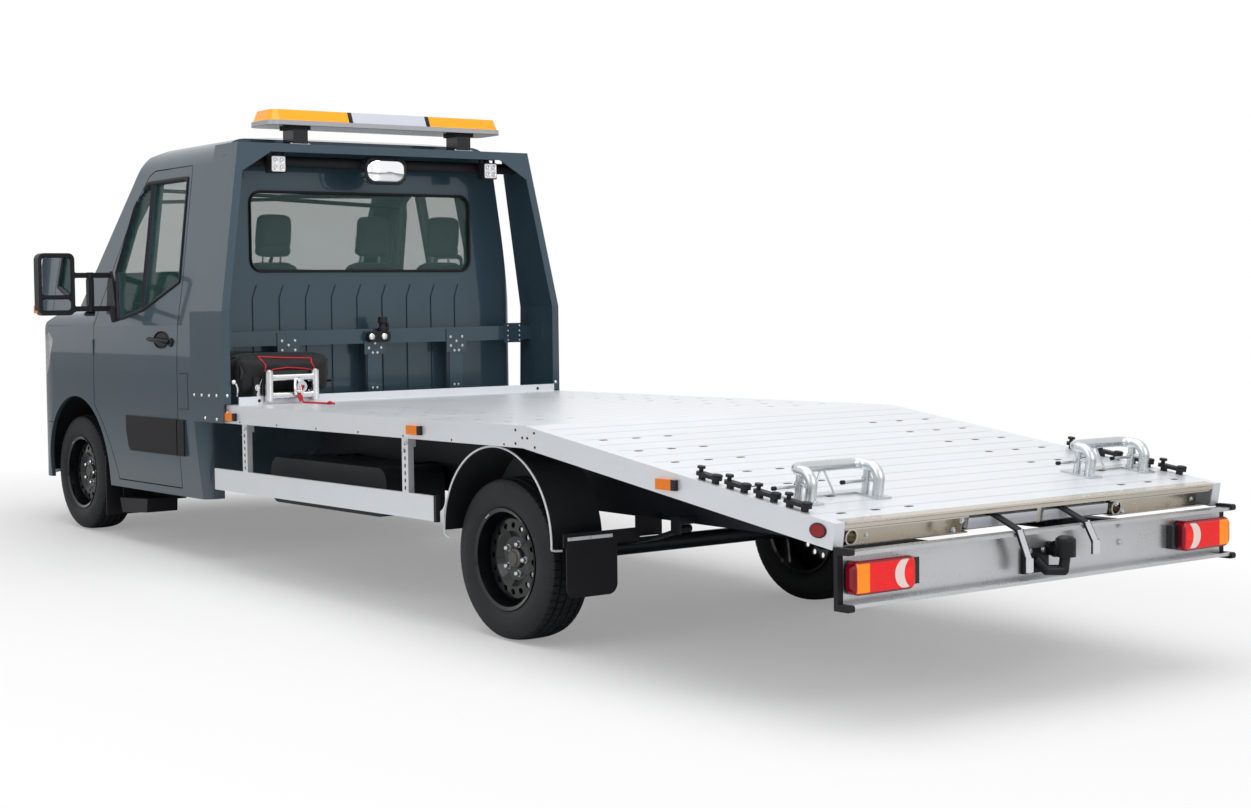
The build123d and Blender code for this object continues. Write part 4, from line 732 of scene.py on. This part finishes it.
# Headboard: bolts and rivets, pole clamp, lamps, mirror and light bar
TIE_FACE, POST_FACE = 1806, 1800
FIN_RIVETS = [(1740, 866), (1825, 866), (1908, 866), (1992, 868), (1861, 748), (1990, 745)]
LAMP_Z, MIRROR_Z = 2073, 2060

heads = Shape()
for x in (-550, 0, 550):
    heads.bolts([(x + dx, TIE_FACE, z) for dx in (-40, 40) for z in (1088, 1139)] + [(x, TIE_FACE, 1115)], BACK, 5)
    heads.bolts([(x + dx, TIE_FACE, 1061) for dx in (-15, 15)], BACK, 5)
    heads.bolts([(x + dx, POST_FACE, 866) for dx in (-14, 14)], BACK, 5)
for side in (1, -1):
    heads.bolts([(side * x, TIE_FACE, z) for x in (918, 1000) for z in (1111, 1138, 1166, 1196)], BACK, 5)
    heads.rivets([(side * 1088, y, z) for y, z in FIN_RIVETS], (side, 0, 0), 9)
    heads.rivets([(side * 1062, 2065, z) for z in (780, 868)], BACK, 9)
piece("headboard_bolts", "chassis", "bright_steel", heads)

clamp = Shape()
clamp.plate(rounded(72, 30, 22, 5, (12, 0)), (0, 1842, 1150), (-1, 0, 0), UP, -38)
knob = [(0, 24), (6, 27), (24, 27), (28, 20), (46, 19), (50, 27), (78, 27), (84, 21)]
clamp.turned(knob, (-41, 1824, 1176), UP, 24)
clamp.bar([(-60, 1820, 1170), (-76, 1822, 1196), (-70, 1824, 1226)], 9, 10)
clamp.use(1)
for x in (44, -38):
    clamp.turned([(0, 20), (8, 20), (13, 15), (15, 2)], (x, 1842, 1150), BACK, 24)
piece("pole_clamp", "chassis", ("black_trim", "bright_steel"), clamp, bevel=2.5)

shade = Shape()
for x in (-686, 686):
    shade.use(0).plate(rounded(40, 40, 8, 4), (x, 1972, LAMP_Z), (-1, 0, 0), UP, 5)
    shade.use(1)
    for dx in (-19, 19):
        for dz in (-19, 19):
            shade.turned([(0, 15), (2, 15), (-1, 8), (2, 3)], (x + dx, 1977, LAMP_Z + dz), BACK, 16)
    shade.use(2)
    for fin in range(x - 42, x + 37, 13):
        shade.box((fin, fin + 6), (1905, 1916), (2034, 2112))
    for arm in (x - 50, x + 45):
        shade.box((arm, arm + 5), (1930, 1950), (2060, 2140))
    shade.box((x - 50, x + 50), (1930, 1950), (2136, 2142))
piece("work_lamp_faces", "chassis", ("white_face", "bright_steel", "black_trim"), shade, bevel=1.2)

dish = Shape()
bulge = ((0, 1.0), (12, 0.96), (26, 0.8), (35, 0.55), (39, 0.3), (40, 0.08))
dish.sweep([[(x, 1950 + depth, z) for x, z in rounded(124 * share, 69 * share, 56 * share, 8, (0, MIRROR_Z))]
            for depth, share in bulge])
dish.use(1).bar([(x, 1949, z) for x, z in rounded(127, 72, 58, 10, (0, MIRROR_Z))], 8, 8, closed=True)
dish.turned([(0, 30), (12, 30), (20, 16)], (0, 1900, MIRROR_Z), (0, -1, 0), 20)
piece("deck_mirror_face", "chassis", ("mirror_face", "black_trim"), dish, sharp=60)

bar = Shape()
for side in (1, -1):
    foot = (side * 470, side * 590)
    bar.use(0).box(foot, (1822, 1948), (2262, 2278))
    bar.use(1).box((side * 492, side * 566), (1836, 1934), (2186, 2264))
    bar.use(2).bolts([(side * x, y, 2186) for x in (478, 580) for y in (1840, 1930)], UP, 6)
    bar.box(foot, (1826, 1944), (2180.5, 2187))
bar.use(0)
for x in (-249, 249):
    joint = [(-118, 0), (118, 0), (113, 26), (95, 57), (-95, 57), (-113, 26)]
    bar.plate(joint, (x - 9, 1885, 2302), BACK, UP, 18)
bar.use(3)
for x in (*range(-660, -329, 110), *range(330, 661, 110)):
    bar.box((x - 40, x + 40), (1800, 1970), (2303, 2318))
piece("light_bar_parts", "chassis", ("black_trim", "frame_black", "zinc_steel", "bright_steel"), bar, bevel=2)

# Bed: rivets of the rails, cups in the deck's slots, rear edge and its bolts
DECK_RUN = 1693.2
KNEE_RIVETS = [(4560, 800), (4560, 745), (4686, 792), (4690, 735), (4640, 770), (4606, 770)]
SLOT_PITCH = 215

rail = Shape()
for side in (1, -1):
    out, x = (side, 0, 0), side * BED_HALF
    rail.rivets([(x, y, z) for y, z in KNEE_RIVETS], out, 6)
    rail.rivets([(x, y, 738) for y in range(2200, 4500, 380)], out, 5)
    rail.rivets([(side * 900, 2106, 838)], BACK, 9)
piece("bed_rivets", "chassis", "oily_black", rail)

cups = Shape()
a = circle(12)
square = np.maximum(np.abs(np.cos(a)), np.abs(np.sin(a))) ** 0.5
slot = np.stack((22 * np.cos(a) / square, 9 * np.sin(a) / square), -1)
for x in (925, 758, 591, -591, -758, -925):
    for k in range(1, 8):
        cups.plate(slot, on_slope(x, 120 + SLOT_PITCH * k, -4), LEFT, -ALONG_SLOPE, -3)
    for k in range(1, 11):
        cups.plate(slot, (x, 4528 - SLOT_PITCH * k, 815), LEFT, (0, -1, 0), -3)
piece("deck_slot_cups", "chassis", "oily_black", cups)

edge = Shape()
edge.bar([on_slope(x, DECK_RUN + 42, -4) for x in (-1016, 1016)], 4.5, 10)
for high, run, rise, way, thick in ((41.5, 0.2, 0.2, ALONG_SLOPE, 0.8), (21, 42.1, -21.5, OFF_SLOPE, -0.8)):
    strip = [(-DECK_HALF, 0), (DECK_HALF, 0), (DECK_HALF, high), (-DECK_HALF, high)]
    edge.plate(strip, on_slope(0, DECK_RUN + run, rise), LEFT, way, thick)
piece("rear_edge_strip", "chassis", "warm_steel", edge)

bits = Shape()
for side in (1, -1):
    bits.bolts([on_slope(side * 900, DECK_RUN + 30, -55)], ALONG_SLOPE, 6)
    bits.bolts([on_slope(side * x, DECK_RUN + 34, rise) for x, rise in ((430, -38), (470, -72))], ALONG_SLOPE, 8)
bits.bolts([(-415, 6351, z) for z in (385, 450)], BACK, 9)
bits.bolts([(75 + dx, 6362.5, 360 + dz) for dx in (-36.8, 36.8) for dz in (-36.8, 36.8)], BACK, 8)
for side in (1, -1):
    bits.bolts([(side * 560, y, 400) for y in (6030, 6090, 6200, 6290)], (side, 0, 0), 8)
piece("rear_bolts", "chassis", "zinc_steel", bits)

# Side guards, fenders and flaps
AXLE_Y = WHEELBASE * cos(RAKE)
GUARD_FACE, FLAP_Y = 1050, 4813

guard = Shape()
for side in (1, -1):
    for y in ((3958, 3978), (1902, 1913)):
        guard.use(0).box((side * 1048, side * 1069), y, (374, 490))
    for y in (2218, 3708):
        guard.use(1)
        for z in range(505, 705, 33):
            guard.plate(rounded(5, 9, 5, 4), (side * (GUARD_FACE + 0.2), y, z), (0, side, 0), UP, 0.6)
        guard.use(2).bolts([(side * GUARD_FACE, y - 12, 672), (side * GUARD_FACE, y + 12, 706)], (side, 0, 0), 7)
piece("side_guard_parts", "chassis", ("black_trim", "oily_black", "zinc_steel"), guard, bevel=1.5)

trim = Shape()
for side in (1, -1):
    ring = [(1006, y, z) for y, z in arc((AXLE_Y, 335), 383, -2, 178, 60)]
    rear = [(960, AXLE_Y + 392, 312), (990, AXLE_Y + 386, 313), (1005, AXLE_Y + 383, 317)]
    fore = [(1006, AXLE_Y - 383, 322), (1000, AXLE_Y - 376, 308), (990, AXLE_Y - 366, 302)]
    trim.use(0).bar([(side * x, y, z) for x, y, z in rear + ring + fore], 4.5, 8)
    trim.use(1).box((side * 640, side * 1000), (FLAP_Y - 21, FLAP_Y - 14), (352, 388))
    trim.use(2).box((side * 770, side * 1000), (FLAP_Y - 2, FLAP_Y), (362, 376))
    trim.use(3).bolts([(side * x, FLAP_Y, 369) for x in (785, 885, 985)], BACK, 5)
piece("fender_trim", "chassis", ("white_face", "black_trim", "bed_aluminium", "zinc_steel"), trim)


# Rear: rail reflectors, hitch cap, wheel-stop bolts and cleat ribs
HITCH_Y, STOP_RUN, CLEAT_X = 6432, 1416, 1039
FULL_TURN = circle(28)

back = Shape()
for side in (1, -1):
    place = np.array((side * BED_HALF, 6262, 536.0))
    outline = [(34 * cos(a), 22 * sin(a)) for a in FULL_TURN]
    back.use(0).plate(outline, place, (0, side, 0), UP, 5)
    back.use(1).bar([place + (side * 2, u * 1.06, v * 1.06) for u, v in outline], 3, 6, closed=True)
piece("rail_reflectors", "chassis", ("reflector_red", "black_trim"), back)

cap = Shape()
for a in circle(18):
    cap.turned([(0, 4), (58, 4), (64, 2)], (32.4 * cos(a), HITCH_Y + 32.4 * sin(a), 376), UP, 6)
cap.turned([(0, 36), (6, 36), (8, 34)], (0, HITCH_Y, 374), UP, 32)
cap.turned([(0, 27), (6, 27), (6, 20), (2, 18), (2, 1)], (-9, HITCH_Y - 48, 396), BACK, 28)
cap.turned([(0, 30), (5, 30), (5, 26)], (-9, HITCH_Y - 56, 396), BACK, 28)
piece("hitch_parts", "chassis", "black_rubber", cap)

posts = Shape()
for middle in (758, -758):
    for x in (middle - 167, middle + 167):
        for way in (-1, 1):
            posts.bolts([on_slope(x + way * 14, STOP_RUN, 56)], (way, 0, 0), 7)
        posts.use(1).turned([(0, 8), (14, 8), (16, 5)], on_slope(x + 113, STOP_RUN, 48), LEFT, 12)
        posts.use(0).bolts([on_slope(x, STOP_RUN + 80, 6.4)], OFF_SLOPE, 7)
piece("wheel_stop_bolts", "chassis", ("zinc_steel", "black_rubber"), posts)

knobs = Shape()
rib = [(-15, -2.2), (15, -2.2), (15, 2.2), (-15, 2.2)]
for side in (1, -1):
    for run in (1080, 1230, 1380, 1530):
        for t in np.linspace(-40, 40, 9):
            knobs.plate(rib, on_slope(side * CLEAT_X, run + t + 6, 28.4), LEFT, ALONG_SLOPE, -2.4)
        knobs.turned([(0, 19), (5, 19), (8, 15)], on_slope(side * CLEAT_X, run + 44, 28), OFF_SLOPE, 16)
piece("cleat_ribs", "chassis", "black_rubber", knobs)

# Winch: roller ends, brackets, hook's fork and the clutch lever
winch = Shape()
for x in (585, 859):
    winch.turned([(0, 23.5), (4, 23.5), (4, 14), (10, 14), (13, 9)], (x, 2140, 985), UP, 20)
for z in (862, 955):
    for x, way in ((612, -1), (832, 1)):
        winch.turned([(0, 20), (14, 20), (16, 12)], (x, 2140, z), (way, 0, 0), 20)
for x in (566, 878):
    winch.box((x - 4, x + 4), (2052, 2106), (862, 975))
for x in (606, 838):
    winch.bolts([(x, 2118.5, z) for z in (878, 940)], BACK, 8)
winch.use(1).bar([(470, 1992, 905), (462, 2040, 925), (458, 2100, 930), (458, 2112, 905), (458, 2112, 880)], 6, 8)
winch.use(0).bar([(682, 2166, 935), (682, 2150, 925), (684, 2128, 908), (686, 2080, 905)], 5, 8)
piece("winch_parts", "chassis", ("bright_steel", "black_trim"), winch, bevel=1)

fork = Shape()
for way in (-1, 1):
    prong = ((705, 2148, 952, 0), (705, 2156, 944, 8), (704, 2166, 915, 17), (702, 2170, 880, 20), (700, 2170, 862, 17))
    fork.bar([(x + way * apart, y, z) for x, y, z, apart in prong], 8, 12, flat=0.6)
fork.turned([(-12, 9), (12, 9)], (702, 2170, 880), LEFT, 16)
fork.bolts([(905, 2100, 905)], BACK, 11)
fork.bar([(1003, 2060, 862), (1008, 2075, 905), (1020, 2080, 928), (1030, 2082, 936)], 6, 10)
fork.turned([(-12, 4), (-10, 10), (0, 14), (10, 10), (12, 4)], (1034, 2082, 938), UP, 20)
fork.plate([(0, 0), (44, 0), (44, 16), (10, 108), (0, 112)], (868, 2104, 856), LEFT, UP, 26)
fork.use(1).box((893, 926), (2060, 2100), (856, 960))
piece("winch_fork_and_lever", "chassis", ("bright_steel", "black_trim"), fork, bevel=1.5)

# Pull strap's flat top, held in the hook: rows are height, half width and place rearwards
band = Shape()
BAND = ((902, 17, 2166), (890, 18, 2169), (870, 16, 2171), (850, 12, 2172), (834, 8, 2173), (826, 6, 2180))
band.sweep([[(698 - half, y, z), (698 + half, y, z), (698 + half, y + 4, z), (698 - half, y + 4, z)]
            for z, half, y in BAND])
strap_band = piece("hook_strap_band", "chassis", "strap_red", band, levels=1)

# Sleeves of the ramps' rubber hold-down straps: from the ramp's end over the beam, with a ribbed grip at the foot
for hand, along, foot in (("left", (262, 252, 218, 168), 372), ("right", (-96, -118, -156, -204), 408)):
    over = [on_slope(along[0], DECK_RUN - 30, -33.8), on_slope(along[1], DECK_RUN + 34, -33.8),
            np.array((along[2], 6403, 483)), np.array((along[3], 6403.6, foot))]
    hold = Shape()
    for a, b in zip(over[:-1], over[1:]):
        way = unit(b - a)
        side, rise = np.array((19, 0, 0)), unit(np.cross(LEFT, way)) * 4.2
        ends = (a - way * 2, b + way * 2)
        hold.sweep([[p - side - rise, p + side - rise, p + side + rise, p - side + rise] for p in ends])
    for z in range(foot - 42, foot + 4, 9):
        hold.box((along[3] - 20, along[3] + 20), (6400, 6408), (z, z + 5))
    hold.box((along[3] - 19.5, along[3] + 19.5), (6400.6, 6407.4), (foot - 44.5, foot + 8))
    piece(f"hold_down_strap_{hand}", f"{hand}_ramp", "black_rubber", hold, bevel=1)


# Knot and stitched loop of the pull strap
knot = Shape()
loop = [(662 + 8.8 * sin(2 * t), 2418 + 13 * cos(t), 828.5 + 4.5 * sin(3 * t)) for t in FULL_TURN]
knot.bar(loop, 4.6, 10, closed=True)
knot.bar([(662, 2424, 826), (660, 2436, 825), (655, 2447, 824.6)], 4.8, 10)
knot.bar([(655, 2446, 824.6), (654, 2449, 824.6)], 5.4, 10)
end_knot = piece("hook_strap_knot", "chassis", "strap_red", knot, sharp=80)
ends = Shape()
eyelet = [(682, 2165 + 12 * cos(t), 900 + 15 * sin(t)) for t in circle(20)]
ends.bar(eyelet, 4.6, 10, closed=True)
start_loop = piece("hook_strap_loop", "chassis", "strap_red", ends, sharp=80)
tuple(settle(ROUTE[0]))


# Soft goods: winch cover and seats, blown up by a cloth simulation
def pad_form(half, middle, turn=0.0, taper=(1, 1), steps=10, power=7.0):
    """A closed pad as a rounded box: a grid pushed out to a rounded-corner form, narrower to one end, and leaned."""
    form = bmesh.new()
    bmesh.ops.create_cube(form, size=2)
    bmesh.ops.subdivide_edges(form, edges=form.edges, cuts=steps, use_grid_fill=True)
    p = np.array([v.co for v in form.verts])
    faces = [[v.index for v in f.verts] for f in form.faces]
    form.free()
    p = p / (np.abs(p) ** power).sum(-1, keepdims=True) ** (1 / power)
    p[:, 0] *= 1 + (taper[1] - taper[0]) * 0.5 * (p[:, 2] + 1) + (taper[0] - 1)
    p = p * np.asarray(half)
    y, z = p[:, 1] * cos(turn) + p[:, 2] * sin(turn), p[:, 2] * cos(turn) - p[:, 1] * sin(turn)
    return Shape().grow(np.stack((p[:, 0], y, z), -1) + np.asarray(middle), faces)


def read_rows(vertices, what="co"):
    """A vector of each vertex of a mesh, as rows."""
    flat = np.empty(len(vertices) * 3)
    vertices.foreach_get(what, flat)
    return flat.reshape(-1, 3)


def swell(made, voxel, cap, pressure=4.0, frames=20):
    """Remesh a pad, blow it up as cloth, cap each point's move, and keep the result as its mesh."""
    scene = bpy.context.scene
    remesh = made.modifiers.new("remesh", "REMESH")
    remesh.mode, remesh.voxel_size = "VOXEL", voxel
    fresh = bpy.data.meshes.new_from_object(made.evaluated_get(bpy.context.evaluated_depsgraph_get()))
    made.modifiers.clear()
    old, made.data = made.data, fresh
    fresh.name = made.name
    start = read_rows(fresh.vertices)
    cloth = made.modifiers.new("cloth", "CLOTH").settings
    cloth.use_pressure, cloth.uniform_pressure_force, cloth.quality = True, pressure, 4
    cloth.effector_weights.gravity = 0
    cloth.tension_stiffness = cloth.compression_stiffness = 8
    for frame_number in range(1, frames + 1):
        scene.frame_set(frame_number)
    shown = made.evaluated_get(bpy.context.evaluated_depsgraph_get())
    move = read_rows(shown.data.vertices) - start
    far = np.linalg.norm(move, axis=1, keepdims=True)
    move *= cap * np.tanh(far / cap) / np.maximum(far, 1e-9)
    made.modifiers.clear()
    scene.frame_set(1)
    fresh.vertices.foreach_set("co", (start + move).ravel())
    fresh.polygons.foreach_set("use_smooth", [True] * len(fresh.polygons))
    fresh.update()
    bpy.data.meshes.remove(old)


def press(made, seams, depth, width):
    """Pull a pad in along its seams: each seam gives a distance for every point, in chassis millimetres."""
    vertices = made.data.vertices
    place, normal = read_rows(vertices), read_rows(vertices, "normal")
    p = level(place)
    far = np.min([np.abs(seam(p)) for seam in seams], axis=0)
    pull = depth / 1000 * np.exp(-(far / width) ** 2)
    vertices.foreach_set("co", (place - normal * pull[:, None]).ravel())
    made.data.update()


def pad(name, form, body, finish, voxel, cap, seams, depth, width):
    made = piece(name, body, finish, form, sharp=180)
    swell(made, voxel, cap)
    press(made, seams, depth, width)
    round_off = made.modifiers.new("round", "SUBSURF")
    round_off.levels = round_off.render_levels = 1
    return made


SEATS = ((520, "left"), (-120, "middle"), (-600, "right"))
BACK_LEAN = atan2(130, 820)
for x, hand in SEATS:
    forms = {
        "cushion": (pad_form((205, 225, 62), (x, 1195, 812)), 12,
                    [lambda p, x=x: np.abs(p[:, 0] - x) - 120, lambda p: np.abs(p[:, 1] - 1130)], 0.7),
        "back": (pad_form((200, 44, 388), (x, 1530, 1195), BACK_LEAN, (1, 0.86)), 12,
                 [lambda p, x=x: np.abs(p[:, 0] - x) - 118, lambda p: p[:, 2] - 1330, lambda p: p[:, 2] - 1080], 0.7),
        "headrest": (pad_form((112, 32, 116), (x, 1608, 1712), 0.12, (1, 0.9)), 8,
                     [lambda p: np.abs(p[:, 2] - 1650)], 0.8),
    }
    for part, (form, cap, seams, fill) in forms.items():
        pad(f"seat_{part}_{hand}", form, "chassis", "seat_cloth", 0.014, cap / 1000, seams, 6, 9)
stalks = Shape()
for x, _ in SEATS:
    stalks.use(0)
    for stalk in (x - 55, x + 55):
        stalks.bar([(stalk, 1580, 1560), (stalk, 1596, 1640)], 6, 8)
    stalks.use(1).box((x - 190, x + 190), (990, 1400), (600, 752))
    for hinge in (x - 215, x + 196):
        stalks.box((hinge, hinge + 19), (1380, 1460), (700, 860))
frame_piece = piece("seat_frames", "chassis", ("bright_steel", "black_trim"), stalks, bevel=8)
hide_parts("seats")

# Winch cover: a blown-up box narrower at its foot, with red piping round its panels
COVER_X, COVER_FACE = 722, 2040
COVER_SEAMS = [lambda p: np.abs(p[:, 2] - 1052) + (p[:, 1] < COVER_FACE) * 60,
               lambda p: np.abs(np.abs(p[:, 0] - COVER_X) - 262) + (p[:, 1] < COVER_FACE) * 60]
cover_form = pad_form((284, 92, 102), (COVER_X, 1984.5, 972), 0, (0.962, 1), 14)
cover = pad("winch_soft_cover", cover_form, "chassis", "cover_cloth", 0.006, 0.009, COVER_SEAMS, 4, 7)
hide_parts("winch_cover")

# Red piping round the cover's rear panel, laid on the swollen cloth
PANEL = [(873, 1066), (800, 1060), (734, 1056), (640, 1052), (563, 1050), (571, 1026), (548, 984), (620, 996),
         (721, 1004), (800, 996), (856, 974), (846, 1020)]
near = level(read_rows(cover.data.vertices))
piping = Shape()
path = []
for x, z in fine(PANEL, 14):
    far = (near[:, 0] - x) ** 2 + (near[:, 2] - z) ** 2 + (near[:, 1] < 1985) * 1e6
    path.append((x, near[np.argsort(far)[:4], 1].mean() + 1, z))
piping.bar(path, 3.6, 8, closed=True)
piece("winch_cover_piping", "chassis", "piping", piping, sharp=80)


# Shut lines, fuel flap, flaps behind the front wheels and boxes under the sills
FUEL_FLAP = [(1416, 905), (1432, 955), (1462, 972), (1560, 972), (1560, 780), (1416, 780)]
SHUT_LINE = [(1416, 780), (1405, 520), (1440, 330)]
MUD_FLAP = [(446, 210), (446, 122), (454, 122), (454, 470), (446, 470)]
SILL_BOX = [(572, 232), (606, 150), (930, 172), (938, 250)]

for side, hand in SIDES:
    inward = (-side, 0, 0)
    seams = Shape()
    seams.bar(trace(["cab_shell"], FUEL_FLAP, inward, -1.2, 25), 3.2, 6, closed=True)
    seams.bar(trace(["cab_shell"], SHUT_LINE, inward, -1.4, 40, False), 3, 6)
    seams.use(1).plate(MUD_FLAP, (side * 720, 0, 0), BACK, UP, side * 300)
    seams.plate(SILL_BOX, (side * 800, 0, 0), BACK, UP, side * 190)
    piece(f"cab_seams_{hand}", "chassis", ("oily_black", "black_rubber"), seams, bevel=2)

# Nose: lamp insides laid on the lenses, fog lamps and bars in the bumper's opening
ROUND_LAMPS = ((680, 925, 56, "headlamps", 0), (822, 935, 48, "headlamps", 0), (700, 468, 44, "front_bumper", 3))
DAY_STRIP = ((590, 818), (700, 812), (820, 816), (900, 838), (935, 880), (950, 930))
BLINKER = ((600, 1008), (760, 1012), (880, 1018))

nose = Shape()
for side in (1, -1):
    for x, z, r, target, rim_finish in ROUND_LAMPS:
        disc = skin([target], [(side * x + r * cos(a), 0, z + r * sin(a)) for a in FULL_TURN], BACK, 1.5)
        middle = disc.mean(0)
        nose.use(rim_finish).bar(disc, 6, 8, closed=True)
        nose.use(3).sweep([disc, disc + (0, -1, 0)])
        nose.use(1).sweep([middle + (disc - middle) * 0.62 + (0, -d, 0) for d in (1, 5)])
    for path, finish, thick in ((DAY_STRIP, 1, 7), (BLINKER, 2, 8)):
        laid = trace(["headlamps"], np.array(path) * (side, 1), BACK, 1, 20, False)
        nose.use(finish).bar(laid, thick, 8, flat=0.6)
nose.use(3)
for z in (425, 470, 515):
    nose.box((-500, 500), (-812, -802), (z - 6, z + 6))
for x in range(-450, 451, 100):
    nose.box((x - 5, x + 5), (-806, -798), (402, 538))
nose.box((-512, 512), (-788, -784), (396, 544))
piece("lamp_insides", "chassis", ("bright_steel", "white_face", "amber_lens", "black_trim"), nose, bevel=1)


# White studio: soft lamps, a floor that fades to white, and a white world
def lamp(name, size, power, place, aim):
    """A soft square lamp at a place, facing a point."""
    light = bpy.data.lights.new(name, "AREA")
    light.size, light.energy = size, power
    lit = add_object(name, light)
    lit.location = place
    back = np.subtract(place, aim)
    lit.rotation_euler = (atan2(hypot(back[0], back[1]), back[2]), 0, atan2(back[0], -back[1]))


lamp("lamp_above", 9, 720, (1.0, 1.5, 9.0), (0, 0, 0.5))
lamp("lamp_left", 5, 120, (8.5, 2.0, 4.5), (0, 0, 1.0))
lamp("lamp_rear", 5, 170, (0.5, 10.5, 4.5), (0, 1, 0.8))

world = bpy.data.worlds.new("studio")
world.use_nodes = True
bpy.context.scene.world = world
sky = Graph(world.node_tree)
SEEN = ("Is Camera Ray", "Is Transmission Ray", "Is Glossy Ray")
direct, through, glossy = (sky.node("ShaderNodeLightPath", take=kind) for kind in SEEN)
shine = (direct | through | glossy) * 0.66 + 0.34
sky.feed(world.node_tree.nodes["Background"], {"Color": (1, 1, 1, 1), "Strength": shine})

floor_look = Look("studio_floor", (0.82, 0.82, 0.82), 0.9, Specular_IOR_Level=0.1)
shown = floor_look.node("ShaderNodeLightPath", take="Is Camera Ray")
x, y, _ = floor_look.split(floor_look.place())
far = ((x * x) * 1.6 + (y * y) * 0.55).apply("SQRT").step(3.5, 2.3)
white = floor_look.node("ShaderNodeEmission", {"Color": (1, 1, 1, 1), "Strength": 1.0})
matt = Signal(floor_look, floor_look.shader.outputs[0])
both = floor_look.node("ShaderNodeMixShader", {0: shown * (far * 0.72 + 0.28), 1: matt, 2: white})
floor_look.feed(floor_look.tree.nodes["Material Output"], {"Surface": both})
HALF_FLOOR = 60
corners = [(x * HALF_FLOOR, y * HALF_FLOOR, 0) for x, y in ((-1, -1), (1, -1), (1, 1), (-1, 1))]
floor = bpy.data.meshes.new("studio_floor")
floor.from_pydata(corners, [], [(0, 1, 2, 3)])
floor.materials.append(floor_look.material)
studio = add_object("studio_floor", floor)
bpy.context.scene.view_settings.view_transform = "Standard"
